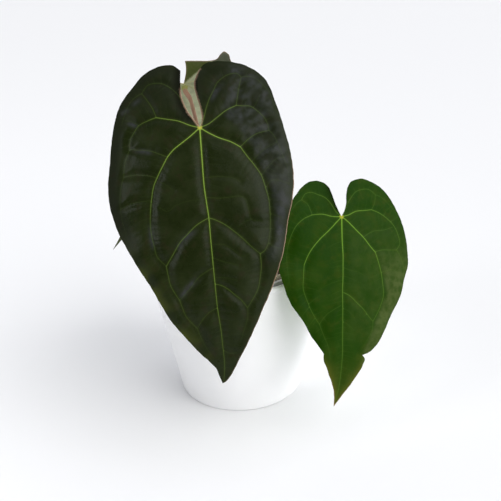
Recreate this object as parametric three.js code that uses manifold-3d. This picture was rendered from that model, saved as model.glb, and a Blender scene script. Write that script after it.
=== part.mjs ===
// A potted anthurium hybrid: four heart-shaped leaves on arching stalks, in a nursery pot inside a
// white tapered pot. Millimetres, +Z up, the origin at the middle of the pot's flat base.
// The leaves face -Y, which is the front.
import * as THREE from 'three';
import { mergeVertices } from 'three/addons/utils/BufferGeometryUtils.js';
import Module from 'manifold-3d';

const wasm = await Module();
wasm.setup();

// Pots
const POT_HEIGHT = 168;
const POT_TOP_RADIUS = 102.3;
const POT_BASE_RADIUS = 71.5;
const POT_WALL = 3.6;
const POT_FLOOR = 4.5;
const COLLAR_DROP = 7;
const COLLAR_PROUD = 0.7;
const EDGE_ROUND = 2.5;
const RIM_ROUND = 1.2;
const ARC_STEPS = 3;
const POT_SIDES = 60;
const FIT_GAP = 0.3;

const INNER_RIM_HEIGHT = 170;
const INNER_TOP_RADIUS = 93;
const INNER_BASE_RADIUS = 60;
const INNER_WALL = 1.4;
const LIP_WIDTH = 3;
const LIP_DEPTH = 7;
const INNER_SIDES = 44;

// Potting mix
const MIX_EDGE_HEIGHT = 154;
const MIX_CROWN = 5;
const MIX_SIDES = 40;
const CHUNKS = 60;
const CHUNK_SMALL = 4.5;
const CHUNK_LARGE = 9;
const CHUNK_SINK = 0.1;
const CHUNKS_FROM = 20;
const CHUNKS_CLEAR = 12;
const GOLDEN_ANGLE = Math.PI * (3 - Math.sqrt(5));
const SEED = 41;

// Stem
const STEM_FOOT = [-9, 7, 132];
const STEM_WAIST = [-8, 6, 170];
const STEM_HEAD = [-7, 5, 208];
const STEM_RADIUS = 10.5;
const STEM_SIDES = 12;
const STEM_STEPS = 14;
const STEM_TAPER = 2.5;
const STEM_CROWN_ROUND = 3;
const HOLE_CLEARANCE = 1;
const SCARS = 5;
const SCAR_DEPTH = 0.6;
const BUD_HEIGHT = 26;
const BUD_SINK = 8;
const BUD_RADIUS = 4.5;
const BUD_SIDES = 8;
const BUD_STEPS = 5;
const ROOT_RADIUS = 2;
const ROOT_SIDES = 7;
const ROOT_STEPS = 5;
const ROOTS = [
  { bearing: 200, height: 178, reach: 12 },
  { bearing: 320, height: 172, reach: 10 },
  { bearing: 75, height: 176, reach: 11 },
];

// Stalks
const STALK_BASE_RADIUS = 4.2;
const STALK_RADIUS = 2.4;
const KNEE_RADIUS = 3;
const STALK_SIDES = 9;
const STALK_STEPS = 16;
const KNEE_SET_IN = 4;
const KNEE_DROP = 3.1;
const SHEATH_SHARE = 0.22;
const KNEE_SHARE = 0.86;
const KNEE_FULL_SHARE = 0.93;

// Blades
const BLADE_THICKNESS = 1;
const MARGIN_THICKNESS = 0.8;
const RIB_HALF_WIDTH = 2.2;
const RIB_FRONT = 0.5;
const RIB_BACK = 2;
const PUFF = 1.6;
const FLANK = 2;
const TIP_GORE = 3;
const FIRST_STEP = 0.02;
const FOOT_LIMIT = 0.28;
const SMALLEST_GAP = 0.1;
const RUFFLE_START = 0.6;
const RUFFLE_CENTRE = 0.35;
const FLANK_CELLS = 13;

// Each side of a blade is drawn flat, in its own plane: u across, v from the junction to the tip.
// The margin runs from the lobe's inner corner to the tip. The stops number the margin's points
// where the lobe vein, the side vein and the main side vein end.
const FRONT_LEFT = {
  sinus: [[-5.5, -9], [-11.5, -19], [-16.4, -33], [-17.6, -48]],
  lobeVein: [[-9, -8], [-20, -20], [-32, -33], [-46, -44]],
  sideVein: [[-10, -4], [-22, -10], [-42, -15], [-58, -14], [-74, -11]],
  mainVein: [
    [-10, 9], [-23, 16], [-38, 31], [-50, 56], [-56, 84], [-53, 112], [-45, 138], [-37, 165], [-25, 192],
  ],
  midrib: [[0, 60], [2, 120], [2, 180], [3, 222]],
  margin: [
    [-17, -62.5], [-26, -69], [-40.4, -68.5], [-55, -61.6], [-67, -48.6], [-79.8, -32.6], [-88.6, -8],
    [-94.2, 24], [-97, 57], [-92, 90], [-77.4, 121], [-60.6, 154], [-44.2, 186], [-23.6, 215.4], [-11.8, 229],
    [-4.8, 240], [-1.4, 252],
  ],
  stops: [4, 6, 14],
};
const FRONT_RIGHT = {
  sinus: [[2.5, -9], [1.2, -21], [-1.8, -33], [-3.6, -47]],
  lobeVein: [[7, -9], [13, -22], [22, -36], [37, -47]],
  sideVein: [[9, -4], [20, -10], [36, -18], [50, -19], [63, -19]],
  mainVein: [
    [8, 6], [22, 13], [40, 25], [51, 43], [59, 64], [61, 86], [57, 110], [50, 130], [45, 155], [35, 181],
    [25, 208],
  ],
  midrib: FRONT_LEFT.midrib,
  margin: [
    [1.8, -60], [10, -66.5], [26, -66.6], [43, -62.6], [57.6, -54.8], [68.9, -41.7], [75.6, -20], [81, 4],
    [86, 32], [87, 58], [83.3, 80], [77.7, 98], [70.7, 127], [59.2, 156], [42.2, 188], [28.6, 212], [14.6, 234],
    [6.8, 245.5], [-1.4, 252],
  ],
  stops: [4, 6, 16],
};
const RIGHT_LEFT = {
  sinus: [[-3, -6], [-6, -13], [-8.8, -22]],
  lobeVein: [[-8, -6], [-17, -14], [-28, -22]],
  sideVein: [[-15, -3], [-28, -2], [-42, -2], [-54, -2]],
  mainVein: [[-12, 13], [-24, 24], [-35, 39], [-41, 58], [-40, 78], [-34, 96], [-26, 111], [-19, 126]],
  midrib: [[0, 45], [2, 85], [3, 120], [2, 160]],
  margin: [
    [-11.5, -29.5], [-18.5, -35], [-31, -35.5], [-41.5, -29.2], [-52.2, -16.5], [-62, -2], [-68, 18],
    [-69, 38], [-66, 56], [-60, 74], [-51.3, 94], [-38.8, 111], [-28, 127], [-17.2, 143], [-15.2, 151],
    [-10, 164], [-3.3, 181], [0, 199.5],
  ],
  stops: [3, 5, 13],
};
const RIGHT_RIGHT = {
  sinus: [[3.6, -6], [6, -14], [6.4, -22]],
  lobeVein: [[9, -7], [20, -17], [34, -26]],
  sideVein: [[8, -3], [20, -7], [34, -8], [48, -7], [61, -6]],
  mainVein: [[15, 10], [27, 22], [38, 35], [45, 49], [49, 66], [49, 83], [45, 99], [39, 113], [35, 128]],
  midrib: RIGHT_LEFT.midrib,
  margin: [
    [8, -30], [13, -37], [25, -40.2], [38, -37], [51, -31], [62, -19], [70, -4.4], [76.4, 12], [82, 31],
    [84, 50], [76.4, 68], [69.7, 89], [58.6, 111], [44.7, 133], [31.5, 144], [32, 151], [26.8, 163.5],
    [14.2, 180], [4.6, 192.5], [0, 199.5],
  ],
  stops: [4, 6, 14],
};
const BACK_LEFT = {
  sinus: [[-3, -8], [-6, -17], [-8, -26]],
  lobeVein: [[-8, -7], [-18, -15], [-30, -21], [-43, -24]],
  sideVein: [[-12, -2], [-27, -2], [-42, 0]],
  mainVein: [[-8, 8], [-20, 19], [-30, 38], [-34, 62], [-31, 86], [-23, 110]],
  midrib: [[0, 40], [1, 90], [1, 130]],
  margin: [
    [-9, -35], [-19, -33], [-30, -30], [-40.5, -30.2], [-46.5, -37.2], [-50.5, -40.5], [-54, -34.5],
    [-55, -20], [-60, 4], [-62, 30], [-59, 56], [-50, 84], [-36, 111], [-15, 135], [-5, 144], [0, 151],
  ],
  stops: [7, 8, 13],
};
const BACK_RIGHT = {
  sinus: [[4, -3], [8, -7], [12, -11]],
  lobeVein: [[9, -2], [19, -5], [31, -9]],
  sideVein: [[11, 3], [26, 8], [42, 16]],
  mainVein: [[7, 10], [17, 24], [25, 44], [28, 66], [27, 88], [22, 110]],
  midrib: BACK_LEFT.midrib,
  margin: [
    [15, -17], [23, -23], [34, -22], [44, -12], [53, 5], [58, 26], [57, 50], [50, 77], [36, 106], [17, 132],
    [6, 143], [0, 151],
  ],
  stops: [3, 5, 9],
};
const SMALL_RIGHT = {
  sinus: [[2, -5], [4, -10]],
  lobeVein: [[6, -4], [13, -8], [20, -11]],
  sideVein: [[8, 2], [18, 5], [27, 6]],
  mainVein: [[6, 8], [13, 20], [18, 37], [19, 54], [14, 73]],
  midrib: [[0, 40], [1, 80]],
  margin: [
    [6, -16], [13, -22], [22, -21], [30, -11], [35, 4], [37, 22], [35, 39], [27, 59], [16, 77], [7.5, 91],
    [4, 100], [2, 110], [0, 118.5],
  ],
  stops: [3, 4, 9],
};

function mirrored(side) {
  const flip = (points) => points.map(([u, v]) => [-u, v]);
  return {
    sinus: flip(side.sinus),
    lobeVein: flip(side.lobeVein),
    sideVein: flip(side.sideVein),
    mainVein: flip(side.mainVein),
    midrib: side.midrib,
    margin: flip(side.margin),
    stops: side.stops,
  };
}

// Bow lifts the midrib's middle, camber drops the margins, the ruffle waves them, and the
// fold turns back the lobes beside the sinus. A heading of 0 faces the front.
const BLADES = {
  blade_front: {
    junction: [-29, -62, 332],
    tip: [-18, -165, 103],
    heading: -3,
    left: FRONT_LEFT,
    right: FRONT_RIGHT,
    bow: 16,
    camber: 16,
    halfWidth: 100,
    ruffle: 2.4,
    ruffles: 9,
    fold: 5,
    girth: 1.1,
    knee: 15.4,
    outward: 8,
    along: 15,
    columns: [7, 5, 4],
  },
  blade_right: {
    junction: [111, -60, 229],
    tip: [95, -132, 47],
    heading: 15,
    left: RIGHT_LEFT,
    right: RIGHT_RIGHT,
    bow: 8,
    camber: 10,
    halfWidth: 80,
    ruffle: 2,
    ruffles: 8,
    fold: 3,
    girth: 0.95,
    knee: 13.3,
    outward: 7,
    along: 14,
    columns: [6, 5, 6],
  },
  blade_back: {
    junction: [-46, 22, 355],
    tip: [-23, 95, 225],
    heading: 180,
    left: BACK_LEFT,
    right: BACK_RIGHT,
    bow: 5,
    camber: 6,
    halfWidth: 60,
    ruffle: 1,
    ruffles: 7,
    fold: 0,
    girth: 0.85,
    knee: 3.5,
    outward: 6,
    along: 11,
    columns: [10, 3, 3],
  },
  blade_left: {
    junction: [-61, 22, 263],
    tip: [-138, 6, 174],
    heading: -75,
    left: mirrored(SMALL_RIGHT),
    right: SMALL_RIGHT,
    bow: 1,
    camber: 5,
    halfWidth: 40,
    ruffle: 1.2,
    ruffles: 6,
    fold: 0,
    girth: 0.7,
    knee: 9.8,
    outward: 5,
    along: 10,
    columns: [5, 3, 3],
  },
};

// The middle line of each stalk, from its socket in the stem to just before its knee.
const STALKS = {
  petiole_front: [[-11, 0, 196], [-16, -6, 228], [-20, -8, 264], [-24, -12, 297], [-28, -26, 318]],
  petiole_right: [[0, 2, 190], [16, -6, 214], [42, -18, 227], [72, -32, 231], [94, -42, 230]],
  petiole_back: [[-13, 10, 200], [-23.5, 9, 246], [-30.2, 7.5, 290], [-36.4, 9, 325], [-40, 12.5, 341]],
  petiole_left: [[-17, 8, 186], [-26, 12, 208], [-36, 18, 230], [-44, 23, 243]],
};

const COLOURS = {
  pot: 0xf1f1f0,
  nurseryPot: 0x9a97a3,
  mix: 0x5a4030,
  stem: 0x6b7440,
  greenStalk: 0x7c8448,
  pinkStalk: 0xa07a5c,
  darkBlade: 0x1f2a16,
  midBlade: 0x2f5a18,
};

function matter(colour, roughness) {
  return new THREE.MeshStandardMaterial({ color: colour, roughness, metalness: 0 });
}

function toManifold(geometry) {
  const plain = geometry.clone();
  plain.deleteAttribute('normal');
  plain.deleteAttribute('uv');
  const merged = mergeVertices(plain, 1e-4);
  return new wasm.Manifold(new wasm.Mesh({
    numProp: 3,
    vertProperties: new Float32Array(merged.attributes.position.array),
    triVerts: new Uint32Array(merged.index.array),
  }));
}

function toGeometry(manifold) {
  const mesh = manifold.getMesh();
  const geometry = new THREE.BufferGeometry();
  geometry.setAttribute('position', new THREE.BufferAttribute(new Float32Array(mesh.vertProperties), 3));
  geometry.setIndex(new THREE.BufferAttribute(new Uint32Array(mesh.triVerts), 1));
  geometry.computeVertexNormals();
  return geometry;
}

// A closed tube along a smooth curve through the points, with its radius set along the way.
function taperedTube(points, radiusAt, sides, steps) {
  const curve = new THREE.CatmullRomCurve3(points.map((point) => new THREE.Vector3(...point)));
  const frames = curve.computeFrenetFrames(steps, false);
  const positions = [];
  const index = [];
  for (let i = 0; i <= steps; i += 1) {
    const centre = curve.getPointAt(i / steps);
    for (let j = 0; j < sides; j += 1) {
      const angle = (2 * Math.PI * j) / sides;
      const spoke = frames.normals[i].clone().multiplyScalar(Math.cos(angle));
      spoke.addScaledVector(frames.binormals[i], Math.sin(angle));
      positions.push(...spoke.multiplyScalar(radiusAt(i / steps, angle)).add(centre).toArray());
    }
  }
  const first = positions.length / 3;
  positions.push(...curve.getPointAt(0).toArray(), ...curve.getPointAt(1).toArray());
  for (let j = 0; j < sides; j += 1) {
    const next = (j + 1) % sides;
    index.push(first, next, j);
    index.push(first + 1, steps * sides + j, steps * sides + next);
    for (let i = 0; i < steps; i += 1) {
      const low = i * sides;
      const high = low + sides;
      index.push(low + j, low + next, high + next, low + j, high + next, high + j);
    }
  }
  const geometry = new THREE.BufferGeometry();
  geometry.setAttribute('position', new THREE.BufferAttribute(new Float32Array(positions), 3));
  geometry.setIndex(index);
  geometry.computeVertexNormals();
  return geometry;
}

// A closed profile of radius and height, turned about the Z axis.
function turned(profile, sides) {
  const points = profile.map(([radius, height]) => new THREE.Vector2(radius, height));
  return new THREE.LatheGeometry(points, sides).rotateX(Math.PI / 2);
}

// A quarter round in the profile, in degrees from the outward radius.
function arc(radius, height, round, from, to) {
  return Array.from({ length: ARC_STEPS + 1 }, (_, i) => {
    const angle = THREE.MathUtils.degToRad(from + ((to - from) * i) / ARC_STEPS);
    return [radius + round * Math.cos(angle), height + round * Math.sin(angle)];
  });
}

function coverPot() {
  const slope = (POT_TOP_RADIUS - POT_BASE_RADIUS) / POT_HEIGHT;
  const outer = (height) => POT_BASE_RADIUS + slope * height;
  const inner = (height) => outer(height) - POT_WALL;
  const collar = POT_HEIGHT - COLLAR_DROP;
  const rim = POT_HEIGHT - RIM_ROUND;
  const floorEdge = POT_FLOOR + EDGE_ROUND;
  return turned([
    [0, 0],
    ...arc(outer(EDGE_ROUND) - EDGE_ROUND, EDGE_ROUND, EDGE_ROUND, -90, 0),
    [outer(collar) - COLLAR_PROUD, collar],
    [outer(collar), collar + 1],
    ...arc(outer(rim) - RIM_ROUND, rim, RIM_ROUND, 0, 90),
    ...arc(inner(rim) + RIM_ROUND, rim, RIM_ROUND, 90, 180),
    [inner(collar) - COLLAR_PROUD, collar],
    ...arc(inner(floorEdge) - EDGE_ROUND, floorEdge, EDGE_ROUND, 0, -90),
    [0, POT_FLOOR],
  ], POT_SIDES);
}

const INNER_FOOT = POT_FLOOR + FIT_GAP;
const INNER_SLOPE = (INNER_TOP_RADIUS - INNER_BASE_RADIUS) / (INNER_RIM_HEIGHT - INNER_FOOT);

function innerRadius(height) {
  return INNER_BASE_RADIUS + INNER_SLOPE * (height - INNER_FOOT);
}

function nurseryPot() {
  const lipFoot = INNER_RIM_HEIGHT - LIP_DEPTH;
  return turned([
    [0, INNER_FOOT],
    [INNER_BASE_RADIUS, INNER_FOOT],
    [innerRadius(lipFoot), lipFoot],
    [innerRadius(lipFoot) + LIP_WIDTH, lipFoot],
    [INNER_TOP_RADIUS + LIP_WIDTH, INNER_RIM_HEIGHT],
    [INNER_TOP_RADIUS - INNER_WALL, INNER_RIM_HEIGHT],
    [INNER_BASE_RADIUS - INNER_WALL, INNER_FOOT + INNER_WALL],
    [0, INNER_FOOT + INNER_WALL],
  ], INNER_SIDES);
}

// A repeatable stream of numbers from 0 to 1.
function seededRandom(seed) {
  let state = seed;
  return () => {
    state = (state * 16807) % 2147483647;
    return state / 2147483647;
  };
}

function chunk(radius, random) {
  const shape = new THREE.IcosahedronGeometry(radius, 0);
  shape.scale(1, 0.5 + 0.4 * random(), 0.5 + 0.3 * random());
  shape.rotateX(Math.PI * random());
  shape.rotateZ(2 * Math.PI * random());
  return shape;
}

function mixHeight(radius) {
  return MIX_EDGE_HEIGHT + MIX_CROWN * (1 - (radius / INNER_TOP_RADIUS) ** 2);
}

// Bark and pumice, sunk into the top of a plain plug that fills the inner pot.
function pottingMix() {
  const foot = INNER_FOOT + INNER_WALL + FIT_GAP;
  const slack = INNER_WALL + FIT_GAP + 0.2;
  const edge = innerRadius(MIX_EDGE_HEIGHT) - slack;
  const profile = [[0, foot], [innerRadius(foot) - slack, foot], [edge, MIX_EDGE_HEIGHT]];
  for (const share of [0.8, 0.55, 0.3]) {
    profile.push([edge * share, mixHeight(edge * share)]);
  }
  profile.push([0, mixHeight(0)]);
  let solid = toManifold(turned(profile, MIX_SIDES));
  const random = seededRandom(SEED);
  const spread = edge - CHUNKS_CLEAR - CHUNKS_FROM;
  for (let i = 0; i < CHUNKS; i += 1) {
    const away = CHUNKS_FROM + spread * Math.sqrt((i + 0.5) / CHUNKS);
    const angle = i * GOLDEN_ANGLE;
    const size = CHUNK_SMALL + (CHUNK_LARGE - CHUNK_SMALL) * random();
    const piece = chunk(size, random);
    piece.translate(away * Math.cos(angle), away * Math.sin(angle), mixHeight(away) - CHUNK_SINK * size);
    solid = solid.add(toManifold(piece));
  }
  const hole = taperedTube(
    [STEM_FOOT, STEM_WAIST, STEM_HEAD],
    () => STEM_RADIUS + HOLE_CLEARANCE,
    STEM_SIDES,
    STEM_STEPS,
  );
  hole.translate(0, 0, -FIT_GAP);
  return toGeometry(solid.subtract(toManifold(hole)));
}

// The blade's own axes: across and along its plane, and the normal of its upper face.
function bladeFrame(blade) {
  const junction = new THREE.Vector3(...blade.junction);
  const along = new THREE.Vector3(...blade.tip).sub(junction);
  const length = along.length();
  along.normalize();
  const angle = THREE.MathUtils.degToRad(blade.heading);
  const facing = new THREE.Vector3(Math.sin(angle), -Math.cos(angle), 0);
  const across = facing.cross(along).normalize();
  const normal = along.clone().cross(across);
  return { junction, along, across, normal, length };
}

// Splines through one side's points: the spokes from the junction out to the margin, and the margin.
function sideCurves(side) {
  const vector = ([u, v]) => new THREE.Vector2(u, v);
  const margin = new THREE.SplineCurve(side.margin.map(vector));
  const last = side.margin.length - 1;
  const stops = [0, ...side.stops, last];
  const inner = [side.sinus, side.lobeVein, side.sideVein, side.mainVein, side.midrib];
  const spokes = inner.map((points, i) => (
    new THREE.SplineCurve([[0, 0], ...points, side.margin[stops[i]]].map(vector))
  ));
  const marginAt = (gore, share) => (
    margin.getPoint((stops[gore] + share * (stops[gore + 1] - stops[gore])) / last)
  );
  return { spokes, marginAt };
}

// The share of the way across a gore, with the first and last steps at the feet of its ribs.
function columnShare(column, columns, gap) {
  const foot = Math.min(FOOT_LIMIT, RIB_HALF_WIDTH / Math.max(gap, SMALLEST_GAP));
  if (column === 0 || column === columns) {
    return column / columns;
  }
  return foot + ((1 - 2 * foot) * (column - 1)) / Math.max(columns - 2, 1);
}

// A gore between two spokes: rows of points, from the junction out to the margin.
function fanGore(curves, gore, columns, reaches) {
  const [first, second] = [curves.spokes[gore], curves.spokes[gore + 1]];
  return reaches.map((reach) => {
    const [a, b] = [first.getPointAt(reach), second.getPointAt(reach)];
    const row = [];
    for (let column = 0; column <= columns; column += 1) {
      const share = columnShare(column, columns, a.distanceTo(b));
      const chord = first.getPointAt(1).lerp(second.getPointAt(1), share);
      const onMargin = curves.marginAt(gore, share).sub(chord);
      const point = a.clone().lerp(b, share).addScaledVector(onMargin, reach * reach);
      const edge = gore === TIP_GORE ? reach ** 6 : reach ** 3;
      const onRib = (column === 0 && gore > 0) || column === columns;
      const rib = onRib ? 1 - reach : 0;
      row.push({ point, edge, rib, puff: Math.sin(Math.PI * share), reach, share, gore });
    }
    return row;
  });
}

// The flank between the side vein's spoke, the main side vein and the margin: rows of points
// that start on the main side vein and end on the margin.
function flank(curves, outward, along) {
  const side = curves.spokes[FLANK];
  const main = curves.spokes[FLANK + 1];
  return along.map((way) => {
    const start = main.getPointAt(way);
    const end = curves.marginAt(FLANK, way);
    const width = Math.max(start.distanceTo(end), SMALLEST_GAP);
    const foot = Math.min(outward[1], RIB_HALF_WIDTH / width);
    const cells = 0.6 + 0.4 * Math.abs(Math.sin(FLANK_CELLS * way));
    return outward.map((even, i) => {
      const reach = i === 1 ? THREE.MathUtils.lerp(even, foot, Math.min(1, 4 * way)) : even;
      const bend = side.getPointAt(reach).sub(side.getPointAt(1).multiplyScalar(reach));
      const point = start.clone().lerp(end, reach).addScaledVector(bend, 1 - way);
      const onRib = way === 0 || i === 0;
      return {
        point,
        edge: Math.max(reach ** 3, way ** 6),
        rib: onRib ? 1 - Math.max(reach, way) : 0,
        puff: Math.sin(Math.PI * reach) * Math.min(1, 6 * way) * cells,
        reach: Math.max(reach, way),
        share: 1,
        gore: FLANK,
      };
    });
  });
}

// The two faces' heights above the blade's plane.
function faceHeights(blade, length, place) {
  const { x: u, y: v } = place.point;
  let middle = 4 * blade.bow * (v / length) * (1 - v / length);
  middle -= blade.camber * (u / blade.halfWidth) ** 2;
  const bearing = Math.atan2(u, RUFFLE_CENTRE * length - v);
  middle += blade.ruffle * place.edge * Math.sin(blade.ruffles * bearing + RUFFLE_START);
  if (place.gore === 0) {
    middle -= blade.fold * place.reach * (1 - place.share) ** 2;
  }
  middle += PUFF * place.puff * Math.min(1, 3 * place.reach) * (1 - 0.6 * place.reach);
  const rib = place.rib ** 0.7;
  const half = (BLADE_THICKNESS + (MARGIN_THICKNESS - BLADE_THICKNESS) * place.edge) / 2;
  return { top: middle + half + RIB_FRONT * rib, bottom: middle - half - RIB_BACK * rib };
}

function steps(count) {
  return Array.from({ length: count + 1 }, (_, i) => i / count);
}

// The blade as patches, each a grid of places, with the triangles facing the front on either side.
function bladePatches(blade) {
  const outward = steps(blade.outward);
  const along = [0, FIRST_STEP, ...steps(blade.along).slice(1)];
  return [blade.left, blade.right].flatMap((side, i) => {
    const curves = sideCurves(side);
    const patches = [
      fanGore(curves, 0, blade.columns[0], outward),
      fanGore(curves, 1, blade.columns[1], outward),
      flank(curves, outward, along).map((row) => row.slice().reverse()),
      fanGore(curves, TIP_GORE, blade.columns[2], along),
    ];
    return patches.map((rows) => ({ rows, flipped: i === 1 }));
  });
}

// Both faces share one set of triangles, and a narrow wall closes the solid round the margin.
function bladeGeometry(blade) {
  const frame = bladeFrame(blade);
  const positions = [];
  const known = new Map();
  const vertex = (place) => {
    const key = `${place.point.x.toFixed(3)},${place.point.y.toFixed(3)}`.replaceAll('-0.000', '0.000');
    if (!known.has(key)) {
      known.set(key, known.size);
      const heights = faceHeights(blade, frame.length, place);
      for (const height of [heights.top, heights.bottom]) {
        const point = frame.junction.clone();
        point.addScaledVector(frame.across, place.point.x).addScaledVector(frame.along, place.point.y);
        positions.push(...point.addScaledVector(frame.normal, height).toArray());
      }
    }
    return known.get(key);
  };
  const triangles = [];
  for (const { rows, flipped } of bladePatches(blade)) {
    const numbers = rows.map((row) => row.map(vertex));
    for (let i = 0; i + 1 < numbers.length; i += 1) {
      for (let j = 0; j + 1 < numbers[i].length; j += 1) {
        const [a, b] = [numbers[i][j], numbers[i][j + 1]];
        const [c, d] = [numbers[i + 1][j], numbers[i + 1][j + 1]];
        for (const corners of [[a, c, d], [a, d, b]]) {
          if (new Set(corners).size === 3) {
            triangles.push(flipped ? corners.reverse() : corners);
          }
        }
      }
    }
  }
  const edges = new Map();
  const index = [];
  for (const [a, b, c] of triangles) {
    index.push(2 * a, 2 * b, 2 * c, 2 * a + 1, 2 * c + 1, 2 * b + 1);
    for (const [from, to] of [[a, b], [b, c], [c, a]]) {
      edges.set(`${from},${to}`, [from, to]);
    }
  }
  for (const [from, to] of edges.values()) {
    if (!edges.has(`${to},${from}`)) {
      index.push(2 * from + 1, 2 * to + 1, 2 * to, 2 * from + 1, 2 * to, 2 * from);
    }
  }
  const geometry = new THREE.BufferGeometry();
  geometry.setAttribute('position', new THREE.BufferAttribute(new Float32Array(positions), 3));
  geometry.setIndex(index);
  geometry.computeVertexNormals();
  return geometry;
}

// The stalk's last stretch, the knee, stands square on the back of the blade's junction.
function stalkPoints(name, blade) {
  const frame = bladeFrame(blade);
  const rise = (4 * blade.bow) / frame.length;
  const square = frame.normal.clone().addScaledVector(frame.along, -rise).normalize();
  const end = frame.junction.clone().addScaledVector(frame.along, KNEE_SET_IN);
  end.addScaledVector(frame.normal, rise * KNEE_SET_IN).addScaledVector(square, -KNEE_DROP);
  const start = end.clone().addScaledVector(square, -blade.knee);
  return [...STALKS[name], start.toArray(), end.toArray()];
}

function stalkRadius(share) {
  const sheath = Math.max(0, 1 - share / SHEATH_SHARE);
  const knee = THREE.MathUtils.smoothstep(share, KNEE_SHARE, KNEE_FULL_SHARE);
  return STALK_RADIUS + (STALK_BASE_RADIUS - STALK_RADIUS) * sheath + (KNEE_RADIUS - STALK_RADIUS) * knee;
}

function stalk(points, girth, growth) {
  return taperedTube(points, (share) => stalkRadius(share) * girth + growth, STALK_SIDES, STALK_STEPS);
}

function stemBody() {
  const scars = (share) => SCAR_DEPTH * Math.abs(Math.sin(Math.PI * SCARS * share));
  const crown = (share) => (share === 1 ? STEM_CROWN_ROUND : 0);
  const radius = (share) => STEM_RADIUS - STEM_TAPER * share + scars(share) - crown(share);
  return taperedTube([STEM_FOOT, STEM_WAIST, STEM_HEAD], radius, STEM_SIDES, STEM_STEPS);
}

function growingTip() {
  const [x, y, z] = STEM_HEAD;
  return taperedTube(
    [[x, y, z - BUD_SINK], [x + 1, y + 1, z + BUD_HEIGHT]],
    (share) => BUD_RADIUS * Math.sqrt(1.02 - share),
    BUD_SIDES,
    BUD_STEPS,
  );
}

function aerialRoot({ bearing, height, reach }) {
  const angle = THREE.MathUtils.degToRad(bearing);
  const point = (away, drop) => [
    STEM_WAIST[0] + away * Math.cos(angle),
    STEM_WAIST[1] + away * Math.sin(angle),
    height - drop,
  ];
  const route = [point(4, 0), point(reach, 1), point(reach + 6, 6)];
  return taperedTube(route, (share) => ROOT_RADIUS - share, ROOT_SIDES, ROOT_STEPS);
}

// The short thick stem with leaf scars, its pointed growing tip and its stubs of aerial root.
function stem(sockets) {
  let solid = toManifold(stemBody()).add(toManifold(growingTip()));
  for (const root of ROOTS) {
    solid = solid.add(toManifold(aerialRoot(root)));
  }
  for (const socket of sockets) {
    solid = solid.subtract(toManifold(socket));
  }
  return toGeometry(solid);
}

function named(name, geometry, material) {
  const mesh = new THREE.Mesh(geometry, material);
  mesh.name = name;
  return mesh;
}

const plant = new THREE.Group();
plant.add(named('cover_pot', coverPot(), matter(COLOURS.pot, 0.45)));
plant.add(named('nursery_pot', nurseryPot(), matter(COLOURS.nurseryPot, 0.6)));
plant.add(named('potting_mix', pottingMix(), matter(COLOURS.mix, 0.95)));

const sockets = [];
for (const name of Object.keys(STALKS)) {
  const blade = BLADES[name.replace('petiole', 'blade')];
  const points = stalkPoints(name, blade);
  sockets.push(stalk(points, blade.girth, FIT_GAP));
  const colour = name === 'petiole_back' ? COLOURS.pinkStalk : COLOURS.greenStalk;
  plant.add(named(name, stalk(points, blade.girth, 0), matter(colour, 0.5)));
}
plant.add(named('stem', stem(sockets), matter(COLOURS.stem, 0.7)));

for (const [name, blade] of Object.entries(BLADES)) {
  const colour = name === 'blade_right' ? COLOURS.midBlade : COLOURS.darkBlade;
  plant.add(named(name, bladeGeometry(blade), matter(colour, 0.5)));
}

export default plant;
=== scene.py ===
"""A potted anthurium hybrid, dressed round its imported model: four veined leaves on stalks, a short stem,
chunky potting mix, a thin inner pot and a white tapered cover pot.

Shapes are worked out in millimetres, as in the model's own source, and turned into metres at the end.
The leaves face -Y. On a flat blade, u runs across it and v from its junction with the stalk to its tip.
"""
import math
import random

import bmesh
import bpy
import numpy as np
from mathutils import Matrix, Vector, noise
from mathutils.geometry import delaunay_2d_cdt

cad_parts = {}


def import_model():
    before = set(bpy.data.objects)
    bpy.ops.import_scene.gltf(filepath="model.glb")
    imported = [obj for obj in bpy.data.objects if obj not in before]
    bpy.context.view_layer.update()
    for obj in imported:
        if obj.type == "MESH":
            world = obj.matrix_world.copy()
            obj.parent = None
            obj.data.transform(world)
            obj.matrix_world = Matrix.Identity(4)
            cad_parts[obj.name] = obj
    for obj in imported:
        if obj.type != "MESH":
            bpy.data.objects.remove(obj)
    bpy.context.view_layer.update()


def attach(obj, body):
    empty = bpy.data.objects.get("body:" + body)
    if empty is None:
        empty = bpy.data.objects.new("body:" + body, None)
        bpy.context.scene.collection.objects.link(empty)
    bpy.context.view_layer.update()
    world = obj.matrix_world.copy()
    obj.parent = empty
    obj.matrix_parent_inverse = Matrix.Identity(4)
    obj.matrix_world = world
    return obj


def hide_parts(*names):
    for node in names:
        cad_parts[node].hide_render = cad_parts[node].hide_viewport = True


METRES = 0.001

# Camera: its place in millimetres, its angles in degrees and its frame in pixels
CAMERA_PLACE = (0.0, -867.0, 577.0)
CAMERA_PITCH = 25.3
CAMERA_YAW = 1.1
CAMERA_ROLL = 2.4
FOCAL_PIXELS = 850.0
FRAME_PIXELS = 501.0
SENSOR = 36.0

# Studio: places and sizes in metres, but for half of the floor, which is in millimetres. A panel of light
# is its name, its place, its size and its power.
PANELS = (
    ("left_panel", (-1.42, -0.66, 1.02), (0.45, 1.0), 6.5),
    ("top_panel", (-0.12, -0.68, 1.9), (0.4, 0.4), 1.2),
)
SUN_FROM = (0.58, -0.52, 0.63)
SUN_SPREAD = 55
SUN_POWER = 1.75
LIGHT_AIM = (0, 0, 0.2)
COOL_LIGHT = (0.97, 0.98, 1.0)
WARM_LIGHT = (1.0, 0.99, 0.97)
WORLD_TINT = (0.95, 0.965, 1.0)
DARK_SIDE = (-0.35, -0.74, 0.57)
WORLD_STRENGTHS = (0.5, 1.45)
FLOOR_HALF = 60000.0

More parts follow.
